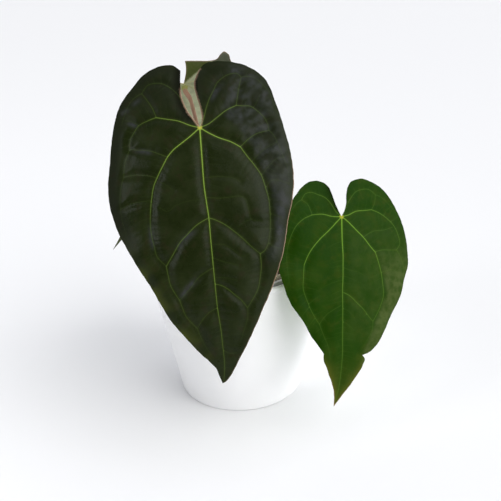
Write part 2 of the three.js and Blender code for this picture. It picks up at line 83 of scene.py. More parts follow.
# Pots
POT_HEIGHT = 168.0
POT_TOP_RADIUS = 102.3
POT_BASE_RADIUS = 71.5
POT_WALL = 3.6
POT_FLOOR = 4.5
COLLAR_DROP = 7.0
COLLAR_PROUD = 0.7
COLLAR_STEP = 1.6
EDGE_ROUND = 2.5
RIM_ROUND = 1.4
FOOT_RING = 5.0
FOOT_RECESS = 1.6
FOOT_SLANT = 1.2
BEAD = 0.8
POT_SIDES = 180
INNER_FOOT = 4.8
INNER_RIM_HEIGHT = 170.0
INNER_TOP_RADIUS = 93.0
INNER_BASE_RADIUS = 60.0
INNER_WALL = 1.4
INNER_SIDES = 144
LIP_WIDTH = 3.0
LIP_DEPTH = 7.0
LIP_SLANT = 1.2

# Potting mix
MIX_EDGE_HEIGHT = 154.0
MIX_CROWN = 5.0
MIX_SEED = 41
MIX_GAP = 0.6
BED_RINGS = 44
BED_SPOKES = 150
BED_SINK = 1.5
LUMPS = 620
BARK_SHARE = 0.62
FIRST_LUMP_RADIUS = 13
# The one lump that shows between the two large leaves
SEEN_LUMP_PLACE = (44.0, -61.0, 160.0)
SEEN_LUMP_SIZE = 7.0
SEEN_LUMP_TONE = 1.0

# Stem. A root is its bearing in degrees, its height and its reach.
STEM_FOOT = (-9, 7, 132)
STEM_WAIST = (-8, 6, 170)
STEM_HEAD = (-7, 5, 208)
STEM_RADIUS = 10.5
STEM_TAPER = 2.5
STEM_CROWN_ROUND = 3.0
SCARS = 5
BUD_HEIGHT = 26.0
BUD_SINK = 8
BUD_RADIUS = 4.5
ROOT_RADIUS = 2.0
ROOTS = ((200, 178, 12), (320, 172, 10), (75, 176, 11))

# Stalks
STALK_BASE_RADIUS = 4.2
STALK_RADIUS = 2.4
KNEE_RADIUS = 3.0
KNEE_SET_IN = 4.0
KNEE_DROP = 3.1
KNEE_OVERLAP = 1.6
KNEE_FLARE = 0.9
SHEATH_SHARE = 0.22
KNEE_SHARE = 0.86
KNEE_FULL_SHARE = 0.93

# Blades: thicknesses, and the steps between the vertices of their meshes
BLADE_THICKNESS = 0.9
MARGIN_THICKNESS = 0.5
RUFFLE_START = 0.6
FOLD_REACH = 34
UNEVEN_HEIGHT = 0.5
UNEVEN_SCALE = 22
# The ridge and the rib of a vein are this high for each millimetre of its half width.
RIDGE_HEIGHT = 0.28
RIB_HEIGHT = 1.35
CROSS_HEIGHT = 0.18
GRID = 1.3
EDGE_STEP = 1.1
VEIN_STEP = 0.9
RUNG_STEP = 1.17
CLEARANCE = 0.75
EDGE_LINE = 0.85
VEIN_SIDE = 0.35
SPLINE_STEPS = 60
MEASURE_STEP = 2.0
# Side and fine veins have these half widths at their ends, and grooves of this depth and spread.
SIDE_WIDTHS = (0.3, 0.24)
SIDE_GROOVE = (0.8, 4.3)
FINE_WIDTHS = (0.2, 0.12)
FINE_GROOVE = (0.3, 3.0)
# A vein of this depth has rungs, the faint cross veins. Their leans and bends are in radians.
MAIN_DEPTH = 0.7
RUNG_LEAN = (1.2, 1.5)
RUNG_BEND = (-0.02, 0.01)
RUNG_LENGTH = (14, 34)
RUNG_PACE = (4.5, 8.5)
RUNG_GAP = 1.3
RUNG_SPREAD = 1.5
RUNG_FAR = 30

# The sides of the flat blades. A point that is given twice makes a corner.
FRONT_LEFT = {
    "sinus": [(-5.5, -9), (-11.5, -19), (-16.4, -33), (-17.6, -48)],
    "margin": [
        (-17, -62.5), (-26, -69), (-40.4, -68.5), (-55, -61.6), (-67, -48.6), (-79.8, -32.6), (-88.6, -8),
        (-94.2, 24), (-97, 57), (-92, 90), (-77.4, 121), (-60.6, 154), (-44.2, 186), (-23.6, 215.4),
        (-11.8, 229), (-8.2, 233.3), (-5.6, 237), (-4.4, 240.8), (-3.4, 245.4), (-1.4, 252),
    ],
}
FRONT_RIGHT = {
    "sinus": [(2.5, -9), (1.2, -21), (-1.8, -33), (-3.6, -47)],
    "margin": [
        (1.8, -60), (10, -66.5), (26, -66.6), (43, -62.6), (57.6, -54.8), (68.9, -41.7), (75.6, -20),
        (81, 4), (86, 32), (87, 58), (83.3, 80), (77.7, 98), (70.7, 127), (59.2, 156), (42.2, 188),
        (28.6, 212), (14.6, 234), (10, 241.5), (5.8, 247), (2, 250.6), (-1.4, 252),
    ],
}
RIGHT_LEFT = {
    "sinus": [(-3, -6), (-6, -13), (-8.8, -22)],
    "margin": [
        (-11.5, -29.5), (-18.5, -35), (-31, -35.5), (-41.5, -29.2), (-52.2, -16.5), (-62, -2), (-68, 18),
        (-69, 38), (-67.3, 56.5), (-60.8, 74.3), (-51.3, 94), (-38.8, 111), (-30.3, 124), (-24, 132.5),
        (-17.2, 141.8), (-17.2, 141.8), (-17, 146), (-15.8, 151), (-10.7, 162), (-4.5, 176), (-1, 187),
        (0, 199.5),
    ],
}
RIGHT_RIGHT = {
    "sinus": [(3.6, -6), (6, -14), (6.4, -22)],
    "margin": [
        (8, -30), (13, -37), (25, -40.2), (38, -37), (51, -31), (62, -19), (70, -4.4), (76.4, 12),
        (82, 31), (84, 50), (76.4, 68), (69.7, 89), (58.6, 111), (45.4, 132), (39.6, 139.1), (34.3, 143),
        (29, 145), (29, 145), (32.2, 149.3), (31.2, 154.5), (26.8, 163.5), (14.2, 180), (4.6, 192.5),
        (0, 199.5),
    ],
}
BACK_LEFT = {
    "sinus": [(-3, -8), (-6, -17), (-8, -26)],
    "margin": [
        (-9, -35), (-19, -33), (-30, -30), (-40.5, -30.2), (-46.5, -37.2), (-50.5, -40.5), (-54, -34.5),
        (-55, -20), (-60, 4), (-62, 30), (-59, 56), (-50, 84), (-36, 111), (-15, 135), (-5, 144),
        (0, 151),
    ],
}
BACK_RIGHT = {
    "sinus": [(4, -3), (8, -7), (12, -11)],
    "margin": [
        (15, -17), (23, -23), (34, -22), (44, -12), (53, 5), (58, 26), (57, 50), (50, 77), (36, 106),
        (17, 132), (6, 143), (0, 151),
    ],
}
SMALL_RIGHT = {
    "sinus": [(2, -5), (4, -10)],
    "margin": [
        (6, -16), (13, -22), (22, -21), (30, -11), (35, 4), (37, 22), (35, 39), (27, 59), (16, 77),
        (7.5, 91), (4, 100), (2, 110), (0, 118.5),
    ],
}


def mirrored(points):
    return [(-u, v) for u, v in points]


SMALL_LEFT = {key: mirrored(points) for key, points in SMALL_RIGHT.items()}


def vein(points, wide, narrow, pale, faint, depth=1.0, spread=5.7):
    """Its points, its half width and its paleness at both ends, and how deep and wide its groove is."""
    return {
        "points": points, "wide": wide, "narrow": narrow, "pale": pale, "faint": faint,
        "depth": depth, "spread": spread,
    }


def all_veins(main, side=(), fine=()):
    """Main veins as above, side veins with both ends' paleness, and fine veins with the first end's."""
    found = [vein(*each) for each in main]
    found += [vein(points, *SIDE_WIDTHS, pale, faint, *SIDE_GROOVE) for points, pale, faint in side]
    found += [vein(points, *FINE_WIDTHS, pale, 0.5 * pale, *FINE_GROOVE) for points, pale in fine]
    return found


FRONT_MAIN = [
    ([(0, 0), (0, 14), (0, 34), (0, 57), (1, 74), (2, 89), (2, 106), (2, 125), (2, 141), (2, 158),
      (2, 177), (3, 197), (3, 214), (3, 228), (2, 239), (0, 250)], 0.64, 0.14, 1.0, 0.28),
    ([(0, 0), (-9, 7), (-18, 13), (-27, 19), (-34, 26)], 0.5, 0.4, 0.9, 0.74),
    ([(-34, 26), (-39, 34), (-45, 44), (-50, 54), (-53, 67), (-55, 79)], 0.4, 0.32, 0.66, 0.36),
    ([(-55, 79), (-56, 88), (-56, 99), (-54, 111), (-52, 122), (-44, 132)], 0.34, 0.28, 0.3, 0.15),
    ([(-44, 132), (-43, 141), (-41, 152), (-34, 166)], 0.36, 0.3, 0.28, 0.2),
    ([(-34, 166), (-32, 174), (-29, 183), (-20, 195)], 0.34, 0.28, 0.2, 0.16),
    ([(-20, 195), (-18, 202), (-15, 211), (-10, 222)], 0.28, 0.2, 0.14, 0.04),
    ([(0, 0), (-9, -3), (-21, -9), (-32, -12), (-43, -15)], 0.44, 0.35, 0.66, 0.48),
    ([(-43, -15), (-51, -13), (-61, -9), (-66, -3), (-71, 5), (-72, 14)], 0.34, 0.24, 0.42, 0.12),
    ([(-72, 14), (-75, 21), (-78, 28), (-80, 41)], 0.3, 0.26, 0.14, 0.1, 0.55, 5.5),
    ([(-80, 41), (-83, 51), (-85, 65), (-85, 80), (-82, 98)], 0.26, 0.2, 0.1, 0.03, 0.45, 5.5),
    ([(0, 0), (8, 6), (18, 12), (29, 17), (38, 23)], 0.5, 0.4, 0.85, 0.64),
    ([(38, 23), (44, 33), (50, 42), (56, 53), (59, 66)], 0.38, 0.32, 0.52, 0.3),
    ([(59, 66), (61, 77), (61, 90), (60, 104), (57, 118)], 0.34, 0.28, 0.32, 0.12),
    ([(57, 118), (53, 125), (48, 128)], 0.3, 0.34, 0.12, 0.25),
    ([(48, 128), (48, 139), (46, 150), (42, 163), (31, 179)], 0.36, 0.3, 0.28, 0.14),
    ([(31, 179), (30, 189), (26, 199), (21, 211)], 0.28, 0.2, 0.12, 0.04),
    ([(0, 0), (9, -3), (18, -9), (27, -15), (37, -19)], 0.4, 0.32, 0.52, 0.38),
    ([(37, -19), (44, -18), (51, -17), (57, -12), (63, -5), (66, 2), (67, 9)], 0.32, 0.24, 0.3, 0.12),
    ([(67, 9), (71, 14), (75, 24), (79, 37), (82, 50), (82, 63)], 0.26, 0.2, 0.12, 0.03, 0.5, 5.5),
    ([(2, 89), (-5, 92), (-12, 96), (-19, 102), (-28, 110), (-36, 121), (-44, 132)], 0.34, 0.3, 0.38, 0.3),
    ([(2, 89), (9, 92), (17, 97), (25, 104), (33, 112), (40, 120), (48, 128)], 0.34, 0.28, 0.36, 0.2),
    ([(0, 0), (-6, -10), (-14, -23), (-20, -36), (-27, -44)], 0.4, 0.3, 0.3, 0.08, 0.8, 6),
    ([(0, 0), (4, -8), (7, -18), (11, -28), (16, -37)], 0.4, 0.3, 0.45, 0.18, 0.8, 6),
]
FRONT_SIDE = [
    ([(-27, -44), (-34, -49), (-42, -51), (-50, -50), (-54, -46), (-57, -42)], 0.16, 0.12),
    ([(-57, -42), (-63, -39), (-69, -34), (-74, -25), (-79, -12)], 0.1, 0.04),
    ([(-43, -15), (-46, -24), (-51, -33), (-57, -42)], 0.24, 0.14),
    ([(-61, -9), (-67, -13), (-75, -16)], 0.1, 0.05),
    ([(-34, 26), (-42, 22), (-51, 18), (-61, 16), (-72, 14)], 0.2, 0.12),
    ([(-45, 46), (-52, 43), (-61, 41), (-71, 40), (-80, 41)], 0.14, 0.1),
    ([(-53, 67), (-63, 67), (-73, 68), (-85, 72)], 0.08, 0.05),
    ([(2, 137), (-6, 141), (-14, 146), (-22, 155), (-34, 166)], 0.15, 0.12),
    ([(2, 176), (-6, 180), (-13, 186), (-20, 195)], 0.14, 0.1),
    ([(2, 153), (8, 155), (14, 159), (20, 165), (26, 171), (31, 179)], 0.32, 0.2),
    ([(3, 218), (9, 222), (16, 222)], 0.08, 0.04),
    ([(38, 23), (45, 17), (53, 12), (60, 10), (67, 9)], 0.28, 0.18),
    ([(37, -19), (39, -28), (41, -37), (44, -48)], 0.2, 0.14),
    ([(16, -37), (20, -44), (26, -49), (33, -52), (40, -52), (44, -48)], 0.2, 0.14),
    ([(44, -48), (52, -48), (59, -45), (65, -38), (71, -29), (74, -16)], 0.1, 0.04),
    ([(48, 38), (55, 32), (63, 26), (72, 22)], 0.07, 0.05),
    ([(56, 53), (62, 46), (71, 38), (79, 37)], 0.07, 0.05),
]
FRONT_FINE = [
    ([(53, -15), (57, -20), (61, -28)], 0.1),
    ([(59, 66), (64, 59), (72, 59), (82, 63)], 0.14),
    ([(61, 90), (67, 93), (73, 95)], 0.1),
    ([(57, 118), (61, 122), (68, 125)], 0.14),
    ([(2, 50), (12, 50), (21, 51), (29, 53), (35, 57)], 0.14),
    ([(1, 69), (13, 71), (23, 71), (34, 71), (39, 75), (41, 85), (43, 94), (53, 97)], 0.16),
    ([(3, 115), (14, 116), (23, 122), (31, 129), (39, 126)], 0.1),
    ([(3, 128), (12, 132), (20, 135), (26, 137)], 0.14),
    ([(4, 147), (13, 148), (23, 151)], 0.1),
    ([(43, 94), (36, 96), (30, 100)], 0.1),
    ([(-43, 50), (-36, 54), (-30, 60)], 0.1),
    ([(-45, 75), (-37, 79), (-29, 74), (-15, 71), (0, 71)], 0.08),
]
FRONT_VEINS = all_veins(FRONT_MAIN, FRONT_SIDE, FRONT_FINE)
RIGHT_MAIN = [
    ([(0, 0), (0, 20), (1, 40)], 0.62, 0.5, 1.0, 0.55),
    ([(1, 40), (1, 60), (1, 78), (2, 101), (3, 123), (4, 142), (4, 159), (3, 180),
      (0, 195)], 0.5, 0.2, 0.55, 0.25),
    ([(0, 0), (-7, 7), (-15, 15), (-24, 23), (-32, 32), (-37, 40), (-41, 50)], 0.45, 0.34, 0.8, 0.5),
    ([(-41, 50), (-42, 61), (-42, 73), (-38, 85), (-33, 97), (-23, 111)], 0.32, 0.26, 0.42, 0.2),
    ([(-23, 111), (-18, 123), (-13, 134), (-10, 147)], 0.3, 0.2, 0.2, 0.06),
    ([(0, 0), (7, 5), (16, 13), (25, 21), (33, 30), (39, 36)], 0.46, 0.38, 0.85, 0.6),
    ([(39, 36), (43, 46), (47, 58), (49, 71), (50, 83), (46, 96), (38, 109)], 0.36, 0.28, 0.5, 0.24),
    ([(38, 109), (37, 119), (32, 129), (26, 140)], 0.3, 0.2, 0.2, 0.05),
    ([(0, 0), (-10, 0), (-21, -2), (-32, -1)], 0.42, 0.34, 0.7, 0.45),
    ([(-32, -1), (-41, 3), (-49, 10), (-54, 19), (-57, 29)], 0.4, 0.3, 0.42, 0.2),
    ([(-57, 29), (-59, 40), (-59, 53), (-57, 69)], 0.28, 0.2, 0.14, 0.04, 0.8, 5.5),
    ([(0, 0), (8, -2), (17, -6), (27, -7), (36, -8)], 0.42, 0.34, 0.7, 0.45),
    ([(36, -8), (45, -5), (54, 0), (63, 8), (68, 17), (71, 27), (67, 34)], 0.4, 0.3, 0.4, 0.24),
    ([(67, 34), (73, 42), (77, 52), (78, 65), (74, 79)], 0.28, 0.2, 0.18, 0.05, 0.8, 5.5),
    ([(0, 0), (-6, -5), (-11, -13), (-17, -19), (-25, -22), (-32, -24), (-39, -22),
      (-43, -16)], 0.4, 0.28, 0.34, 0.24, 0.8, 6),
    ([(0, 0), (4, -7), (10, -18), (17, -26), (26, -29), (34, -29),
      (42, -24)], 0.4, 0.28, 0.3, 0.18, 0.8, 6),
]
RIGHT_SIDE = [
    ([(2, 78), (10, 82), (18, 89), (26, 96), (32, 103), (38, 109)], 0.4, 0.26),
    ([(-43, -16), (-48, -13), (-53, -7), (-57, 1)], 0.2, 0.06),
    ([(-32, -1), (-34, -6), (-37, -12), (-43, -16)], 0.22, 0.2),
    ([(42, -24), (50, -21), (60, -13), (69, -3)], 0.16, 0.05),
    ([(36, -8), (40, -15), (42, -24)], 0.2, 0.16),
    ([(25, 21), (31, 17), (39, 14), (50, 13), (61, 10)], 0.2, 0.14),
    ([(39, 36), (47, 34), (57, 34), (67, 34)], 0.26, 0.2),
    ([(2, 90), (-9, 96), (-17, 102), (-23, 111)], 0.14, 0.14),
]
RIGHT_FINE = [
    ([(51, -2), (55, -8), (62, -12)], 0.2),
    ([(59, 4), (65, 1), (70, -2)], 0.2),
    ([(47, 58), (53, 56), (61, 55), (69, 58)], 0.2),
    ([(1, 52), (9, 55), (19, 57), (26, 61)], 0.16),
    ([(30, 101), (25, 104)], 0.2),
    ([(1, 65), (-8, 67), (-16, 70), (-23, 74)], 0.14),
    ([(-35, 89), (-30, 85), (-24, 81)], 0.14),
    ([(-35, 92), (-40, 98), (-44, 103)], 0.14),
    ([(-28, 104), (-32, 109), (-35, 114)], 0.14),
    ([(2, 108), (9, 112), (15, 117)], 0.14),
    ([(2, 94), (9, 98), (16, 105)], 0.1),
]
RIGHT_VEINS = all_veins(RIGHT_MAIN, RIGHT_SIDE, RIGHT_FINE)
BACK_MAIN = [
    ([(0, 0), (0, 40), (1, 90), (1, 130), (0, 149)], 0.8, 0.3, 1.0, 0.3),
    ([(0, 0), (-8, 8), (-20, 19), (-30, 38), (-34, 62), (-31, 86), (-23, 110),
      (-12, 130)], 0.65, 0.25, 0.9, 0.1),
    ([(0, 0), (7, 10), (17, 24), (25, 44), (28, 66), (27, 88), (22, 110), (11, 130)], 0.65, 0.25, 0.9, 0.1),
    ([(0, 0), (-12, -2), (-27, -2), (-42, 2), (-51, 14), (-54, 34), (-50, 58)], 0.55, 0.25, 0.8, 0.08),
    ([(0, 0), (11, 3), (26, 6), (40, 13), (48, 28), (48, 48), (43, 68)], 0.55, 0.25, 0.8, 0.08),
    ([(0, 0), (-8, -7), (-18, -15), (-30, -21), (-43, -26), (-49, -16),
      (-55, 2)], 0.4, 0.2, 0.4, 0.1, 0.8, 6),
    ([(0, 0), (9, -2), (19, -6), (31, -11), (42, -2), (50, 14)], 0.4, 0.2, 0.4, 0.1, 0.8, 6),
]
BACK_SIDE = [
    ([(1, 56), (-10, 64), (-31, 86)], 0.35, 0.25),
    ([(1, 56), (12, 64), (27, 86)], 0.35, 0.25),
    ([(-30, 38), (-42, 34), (-54, 34)], 0.2, 0.1),
    ([(25, 44), (36, 38), (49, 36)], 0.2, 0.1),
]
BACK_VEINS = all_veins(BACK_MAIN, BACK_SIDE)
SMALL_SIDE_VEINS = [
    ([(0, 0), (6, 8), (13, 20), (18, 37), (19, 54), (14, 73), (7, 88)], 0.5, 0.2, 0.9, 0.1, 1.0, 5.0),
    ([(0, 0), (8, 2), (18, 5), (27, 12), (30, 25), (28, 42)], 0.42, 0.2, 0.7, 0.08, 1.0, 4.5),
    ([(0, 0), (6, -4), (13, -9), (20, -10), (27, -2), (32, 12)], 0.3, 0.18, 0.35, 0.1, 0.8, 4.0),
    ([(0, 38), (8, 46), (18, 56)], 0.3, 0.2, 0.35, 0.25, 0.6, 4.0),
]
SMALL_VEINS = [vein([(0, 0), (0, 40), (1, 80), (0, 117)], 0.6, 0.25, 1.0, 0.3, 1.0, 5.0)]
for points, *look in SMALL_SIDE_VEINS:
    SMALL_VEINS += [vein(points, *look), vein(mirrored(points), *look)]

# Painted sheen lies outside an edge line and along each painted sheen line of the two large leaves.
FRONT_PAINTED_SHEEN_EDGE = [
    (30, -46), (22, -30), (19, -12), (36, 6), (46, 23), (52, 42), (61, 66), (63, 90), (60, 118), (50, 128),
]
FRONT_PAINTED_SHEEN_LINES = [
    [(-76, -15), (-60, -7)], [(-70, 17), (-58, 18), (-46, 21)], [(-36, 168), (-24, 154), (-11, 144)],
    [(-36, 120), (-24, 108), (-9, 97)], [(-56, 84), (-56, 103), (-54, 119)],
    [(11, -22), (18, -35), (28, -45)], [(-69, -29), (-56, -36)], [(-82, -22), (-68, -27)],
    [(40, -16), (41, 8)], [(30, -52), (38, -56), (48, -50)],
]
RIGHT_PAINTED_SHEEN_EDGE = [(30, -10), (39, 36), (49, 71), (50, 83), (38, 109), (26, 140)]

# A heading of 0 faces the front. Bow lifts the midrib's middle, camber drops the margins, the ruffle
# waves them and the fold turns back the lobes beside the sinus. The puff lifts the cells between the
# veins, and the rung is how deep the cross veins lie. The girth is the stalk's, against a plain one,
# and the knee is the length of the stalk's knee.
BLADES = {
    "blade_front": {
        "junction": (-29, -62, 332), "tip": (-18, -165, 103), "heading": -3, "slot": "dark_blade",
        "left": FRONT_LEFT, "right": FRONT_RIGHT, "veins": FRONT_VEINS, "half_width": 100,
        "bow": 16, "camber": 16, "ruffle": 1.8, "ruffles": 9, "fold": 5, "puff": 2.2, "rung": 0.22,
        "girth": 1.1, "knee": 15.4,
    },
    "blade_right": {
        "junction": (111, -60, 229), "tip": (95, -132, 47), "heading": 15, "slot": "mid_green_blade",
        "left": RIGHT_LEFT, "right": RIGHT_RIGHT, "veins": RIGHT_VEINS, "half_width": 80,
        "bow": 8, "camber": 10, "ruffle": 2, "ruffles": 8, "fold": 3, "puff": 1.2, "rung": 0.1,
        "girth": 0.95, "knee": 13.3,
    },
    "blade_back": {
        "junction": (-46, 22, 355), "tip": (-23, 95, 225), "heading": 180, "slot": "dark_blade",
        "left": BACK_LEFT, "right": BACK_RIGHT, "veins": BACK_VEINS, "half_width": 60,
        "bow": 5, "camber": 6, "ruffle": 1, "ruffles": 7, "fold": 0, "puff": 1.2, "rung": 0.15,
        "girth": 0.85, "knee": 3.5,
    },
    "blade_left": {
        "junction": (-61, 22, 263), "tip": (-138, 6, 174), "heading": -75, "slot": "dark_blade",
        "left": SMALL_LEFT, "right": SMALL_RIGHT, "veins": SMALL_VEINS, "half_width": 40,
        "bow": 1, "camber": 5, "ruffle": 1.2, "ruffles": 6, "fold": 0, "puff": 0.9, "rung": 0.15,
        "girth": 0.7, "knee": 9.8,
    },
}
STALKS = {
    "petiole_front": [(-11, 0, 196), (-16, -6, 228), (-20, -8, 264), (-24, -12, 297), (-28, -26, 318)],
    "petiole_right": [(0, 2, 190), (16, -6, 214), (42, -18, 227), (72, -32, 231), (94, -42, 230)],
    "petiole_back": [(-13, 10, 200), (-23.5, 9, 246), (-30.2, 7.5, 290), (-36.4, 9, 325), (-40, 12.5, 341)],
    "petiole_left": [(-17, 8, 186), (-26, 12, 208), (-36, 18, 230), (-44, 23, 243)],
}


# Curves


def bend(here, there, leave, arrive, share):
    """A place between two points, on a curve that leaves one and arrives at the other in the given ways."""
    cubic = 2 * here - 2 * there + leave + arrive
    square = -3 * here + 3 * there - 2 * leave - arrive
    return cubic * share**3 + square * share**2 + leave * share + here


def smooth_line(points, step):
    """A smooth curve through the points, as the model's outlines are drawn, with its points a step apart."""
    points = np.asarray(points, float)
    last = len(points) - 1
    place = np.linspace(0, 1, SPLINE_STEPS * len(points)) * last
    start = np.minimum(np.floor(place).astype(int), last - 1)
    share = (place - start)[:, None]
    here, there = points[start], points[start + 1]
    leave = (there - points[np.maximum(start - 1, 0)]) / 2
    arrive = (points[np.minimum(start + 2, last)] - here) / 2
    return even_points(bend(here, there, leave, arrive, share), step)


def even_points(line, step):
    """The line again, with its points about a step apart."""
    line = np.asarray(line, float)
    gaps = np.linalg.norm(np.diff(line, axis=0), axis=1)
    length = np.concatenate([[0], np.cumsum(gaps)])
    count = max(2, int(round(length[-1] / step)) + 1)
    wanted = np.linspace(0, length[-1], count)
    return np.column_stack([np.interp(wanted, length, line[:, axis]) for axis in range(line.shape[1])])


def curve_through(points, per_span):
    """A smooth curve through points that are unevenly spaced, with no loops at the short spans."""
    points = np.asarray(points, float)
    points = np.vstack([2 * points[0] - points[1], points, 2 * points[-1] - points[-2]])
    line = []
    for p0, p1, p2, p3 in zip(points[:-3], points[1:-2], points[2:-1], points[3:]):
        gap0, gap1, gap2 = (math.sqrt(np.linalg.norm(b - a)) for a, b in ((p0, p1), (p1, p2), (p2, p3)))
        leave = ((p1 - p0) / gap0 - (p2 - p0) / (gap0 + gap1) + (p2 - p1) / gap1) * gap1
        arrive = ((p2 - p1) / gap1 - (p3 - p1) / (gap1 + gap2) + (p3 - p2) / gap2) * gap1
        line += [bend(p1, p2, leave, arrive, share) for share in np.arange(per_span) / per_span]
    return np.array([*line, points[-2]])


def left_of(ways):
    """Unit vectors square to the ways, on their left."""
    return np.column_stack([-ways[:, 1], ways[:, 0]]) / np.linalg.norm(ways, axis=1)[:, None]


def smoothstep(low, high, value):
    """From 0 at low to 1 at high, smoothly. Low may be the larger of the two."""
    share = np.clip((value - low) / (high - low), 0, 1)
    return share * share * (3 - 2 * share)


def nearest(points, line):
    """How far each point is from the line, and how far along it the nearest place is."""
    best = np.full(len(points), 1e9)
    share = np.zeros(len(points))
    gaps = np.linalg.norm(np.diff(line, axis=0), axis=1)
    run = 0.0
    for start, end, gap in zip(line[:-1], line[1:], gaps):
        way = (end - start) / gap
        along = np.clip((points - start) @ way, 0, gap)
        away = points - start - along[:, None] * way
        distance = np.hypot(away[:, 0], away[:, 1])
        closer = distance < best
        best = np.where(closer, distance, best)
        share = np.where(closer, (run + along) / gaps.sum(), share)
        run += gap
    return best, share


def noise_at(points, scale, seed):
    """Smooth noise from -1 to 1 at each point, with features about one scale across."""
    return np.array([noise.noise(Vector((x / scale, y / scale, seed))) for x, y in points])


# Flat blades


def side_outline(side, seed):
    """One side's edge, from the junction round its lobe to the tip, with a little waver."""
    sinus = smooth_line([(0, 0), *side["sinus"], side["margin"][0]], EDGE_STEP)
    margin = smooth_line(side["margin"], EDGE_STEP)
    waver = noise_at(margin, 7, seed) * 0.45 + noise_at(margin, 2.5, seed + 5) * 0.15
    order = np.arange(len(margin))
    fade = np.minimum(1, np.minimum(order, order[::-1]) / 12)
    return sinus, margin - left_of(np.gradient(margin, axis=0)) * (waver * fade)[:, None]


def inside(points, polygon):
    """Which points lie inside the polygon."""
    ends = np.roll(polygon, -1, axis=0)
    level = polygon[:, 1] != ends[:, 1]
    (x1, y1), (x2, y2) = polygon[level].T, ends[level].T
    found = []
    for part in np.array_split(points, len(points) // 4000 + 1):
        x, y = part[:, :1], part[:, 1:]
        crosses = (y1 > y) != (y2 > y)
        left = x < (x2 - x1) * (y - y1) / (y2 - y1) + x1
        found.append((crosses & left).sum(axis=1) % 2 == 1)
    return np.concatenate(found)


def cell_of(place, size):
    return int(place[0] // size), int(place[1] // size)


def cells_round(place, size):
    column, row = cell_of(place, size)
    return [(i, j) for i in (column - 1, column, column + 1) for j in (row - 1, row, row + 1)]


def grow_rung(start, heading, turn, taken, polygon, longest):
    """A rung that runs until it meets a vein, another rung or the margin."""
    place = np.array(start, float)
    points = [place]
    for step in range(int(longest)):
        place = place + np.array([math.cos(heading), math.sin(heading)])
        heading += turn
        points.append(place)
        if step > 3 and any(cell in taken for cell in cells_round(place, RUNG_GAP)):
            break
    points = np.array(points)
    kept = inside(points, polygon)
    return points[: len(points) if kept.all() else int(np.argmin(kept))]


def cross_veins(veins, polygon, seed):
    """Rungs on both sides of the main veins, like ladders bent round each cell."""
    draw = random.Random(seed)
    lines = [smooth_line(each["points"], 1.0) for each in veins]
    taken = {cell_of(place, RUNG_GAP) for line in lines for place in line}
    rungs = []
    for line in (line for each, line in zip(veins, lines) if each["depth"] >= MAIN_DEPTH):
        at = 5.0
        while at < len(line) - 4:
            spot = int(at)
            way = line[min(spot + 2, len(line) - 1)] - line[spot - 2]
            for side in (-1, 1):
                heading = math.atan2(way[1], way[0]) + side * draw.uniform(*RUNG_LEAN)
                turn = side * draw.uniform(*RUNG_BEND)
                rung = grow_rung(line[spot], heading, turn, taken, polygon, draw.uniform(*RUNG_LENGTH))
                if len(rung) > 7:
                    rungs.append(rung)
                    taken.update(cell_of(place, RUNG_GAP) for place in rung[4:])
            at += draw.uniform(*RUNG_PACE)
    return rungs


def flat_blade(blade, seed):
    """The blade laid flat: its outline, the margin and the sinus as parts of it, and its rungs."""
    left_sinus, left_margin = side_outline(blade["left"], seed)
    right_sinus, right_margin = side_outline(blade["right"], seed + 1)
    left = np.vstack([left_sinus, left_margin[1:]])
    right = np.vstack([right_sinus, right_margin[1:]])
    polygon = np.vstack([left, right[-2:0:-1]])
    return {
        "polygon": polygon,
        "margin": np.vstack([left_margin, right_margin[::-1]]),
        "sinus": [left_sinus, right_sinus],
        "rungs": cross_veins(blade["veins"], polygon, seed),
    }


def triangle_grid(low, high):
    """Rows of points one grid step apart, with every other row shifted by half a step."""
    rows = np.arange(low[1], high[1], GRID * math.sqrt(3) / 2)
    return np.array([
        (u, v)
        for number, v in enumerate(rows)
        for u in np.arange(low[0] + GRID / 2 * (number % 2), high[0], GRID)
    ])


def blade_points(blade, flat):
    """Where the mesh has vertices: on the outline, on and beside the veins, and on a grid between."""
    polygon = flat["polygon"]
    inward = left_of(np.roll(polygon, -1, axis=0) - np.roll(polygon, 1, axis=0))
    lines = [polygon + EDGE_LINE * inward, polygon - EDGE_LINE * inward]
    for each in blade["veins"]:
        line = smooth_line(each["points"], VEIN_STEP)
        lines.append(line)
        if each["depth"] >= MAIN_DEPTH:
            reach = np.linspace(each["wide"], each["narrow"], len(line))[:, None] + VEIN_SIDE
            across = left_of(np.gradient(line, axis=0))
            lines += [line + across * reach, line - across * reach]
    lines += [even_points(rung, RUNG_STEP) for rung in flat["rungs"]]
    lines.append(triangle_grid(polygon.min(0), polygon.max(0)))
    kept = [tuple(point) for point in polygon]
    cells = {}
    for point in kept:
        cells.setdefault(cell_of(point, CLEARANCE), []).append(point)
    for line in lines:
        for point, is_inside in zip(map(tuple, line), inside(line, polygon)):
            near = (other for cell in cells_round(point, CLEARANCE) for other in cells.get(cell, ()))
            if is_inside and all(math.dist(other, point) >= CLEARANCE for other in near):
                kept.append(point)
                cells.setdefault(cell_of(point, CLEARANCE), []).append(point)
    return np.array(kept)


def triangulated(points, outline_count):
    """Vertices and triangles of a flat shape whose first points are its outline. The triangles face up."""
    corners = [Vector(point) for point in points]
    made = delaunay_2d_cdt(corners, [], [list(range(outline_count))], 1, 1e-4)
    places = np.array([(point.x, point.y) for point in made[0]])
    triangles = np.array([face for face in made[2] if len(face) == 3])
    a, b, c = (places[triangles[:, corner]] for corner in range(3))
    turn = (b[:, 0] - a[:, 0]) * (c[:, 1] - a[:, 1]) - (b[:, 1] - a[:, 1]) * (c[:, 0] - a[:, 0])
    triangles[turn > 0] = triangles[turn > 0][:, ::-1]
    return places, triangles[np.abs(turn) > 1e-6]


# Shaped blades


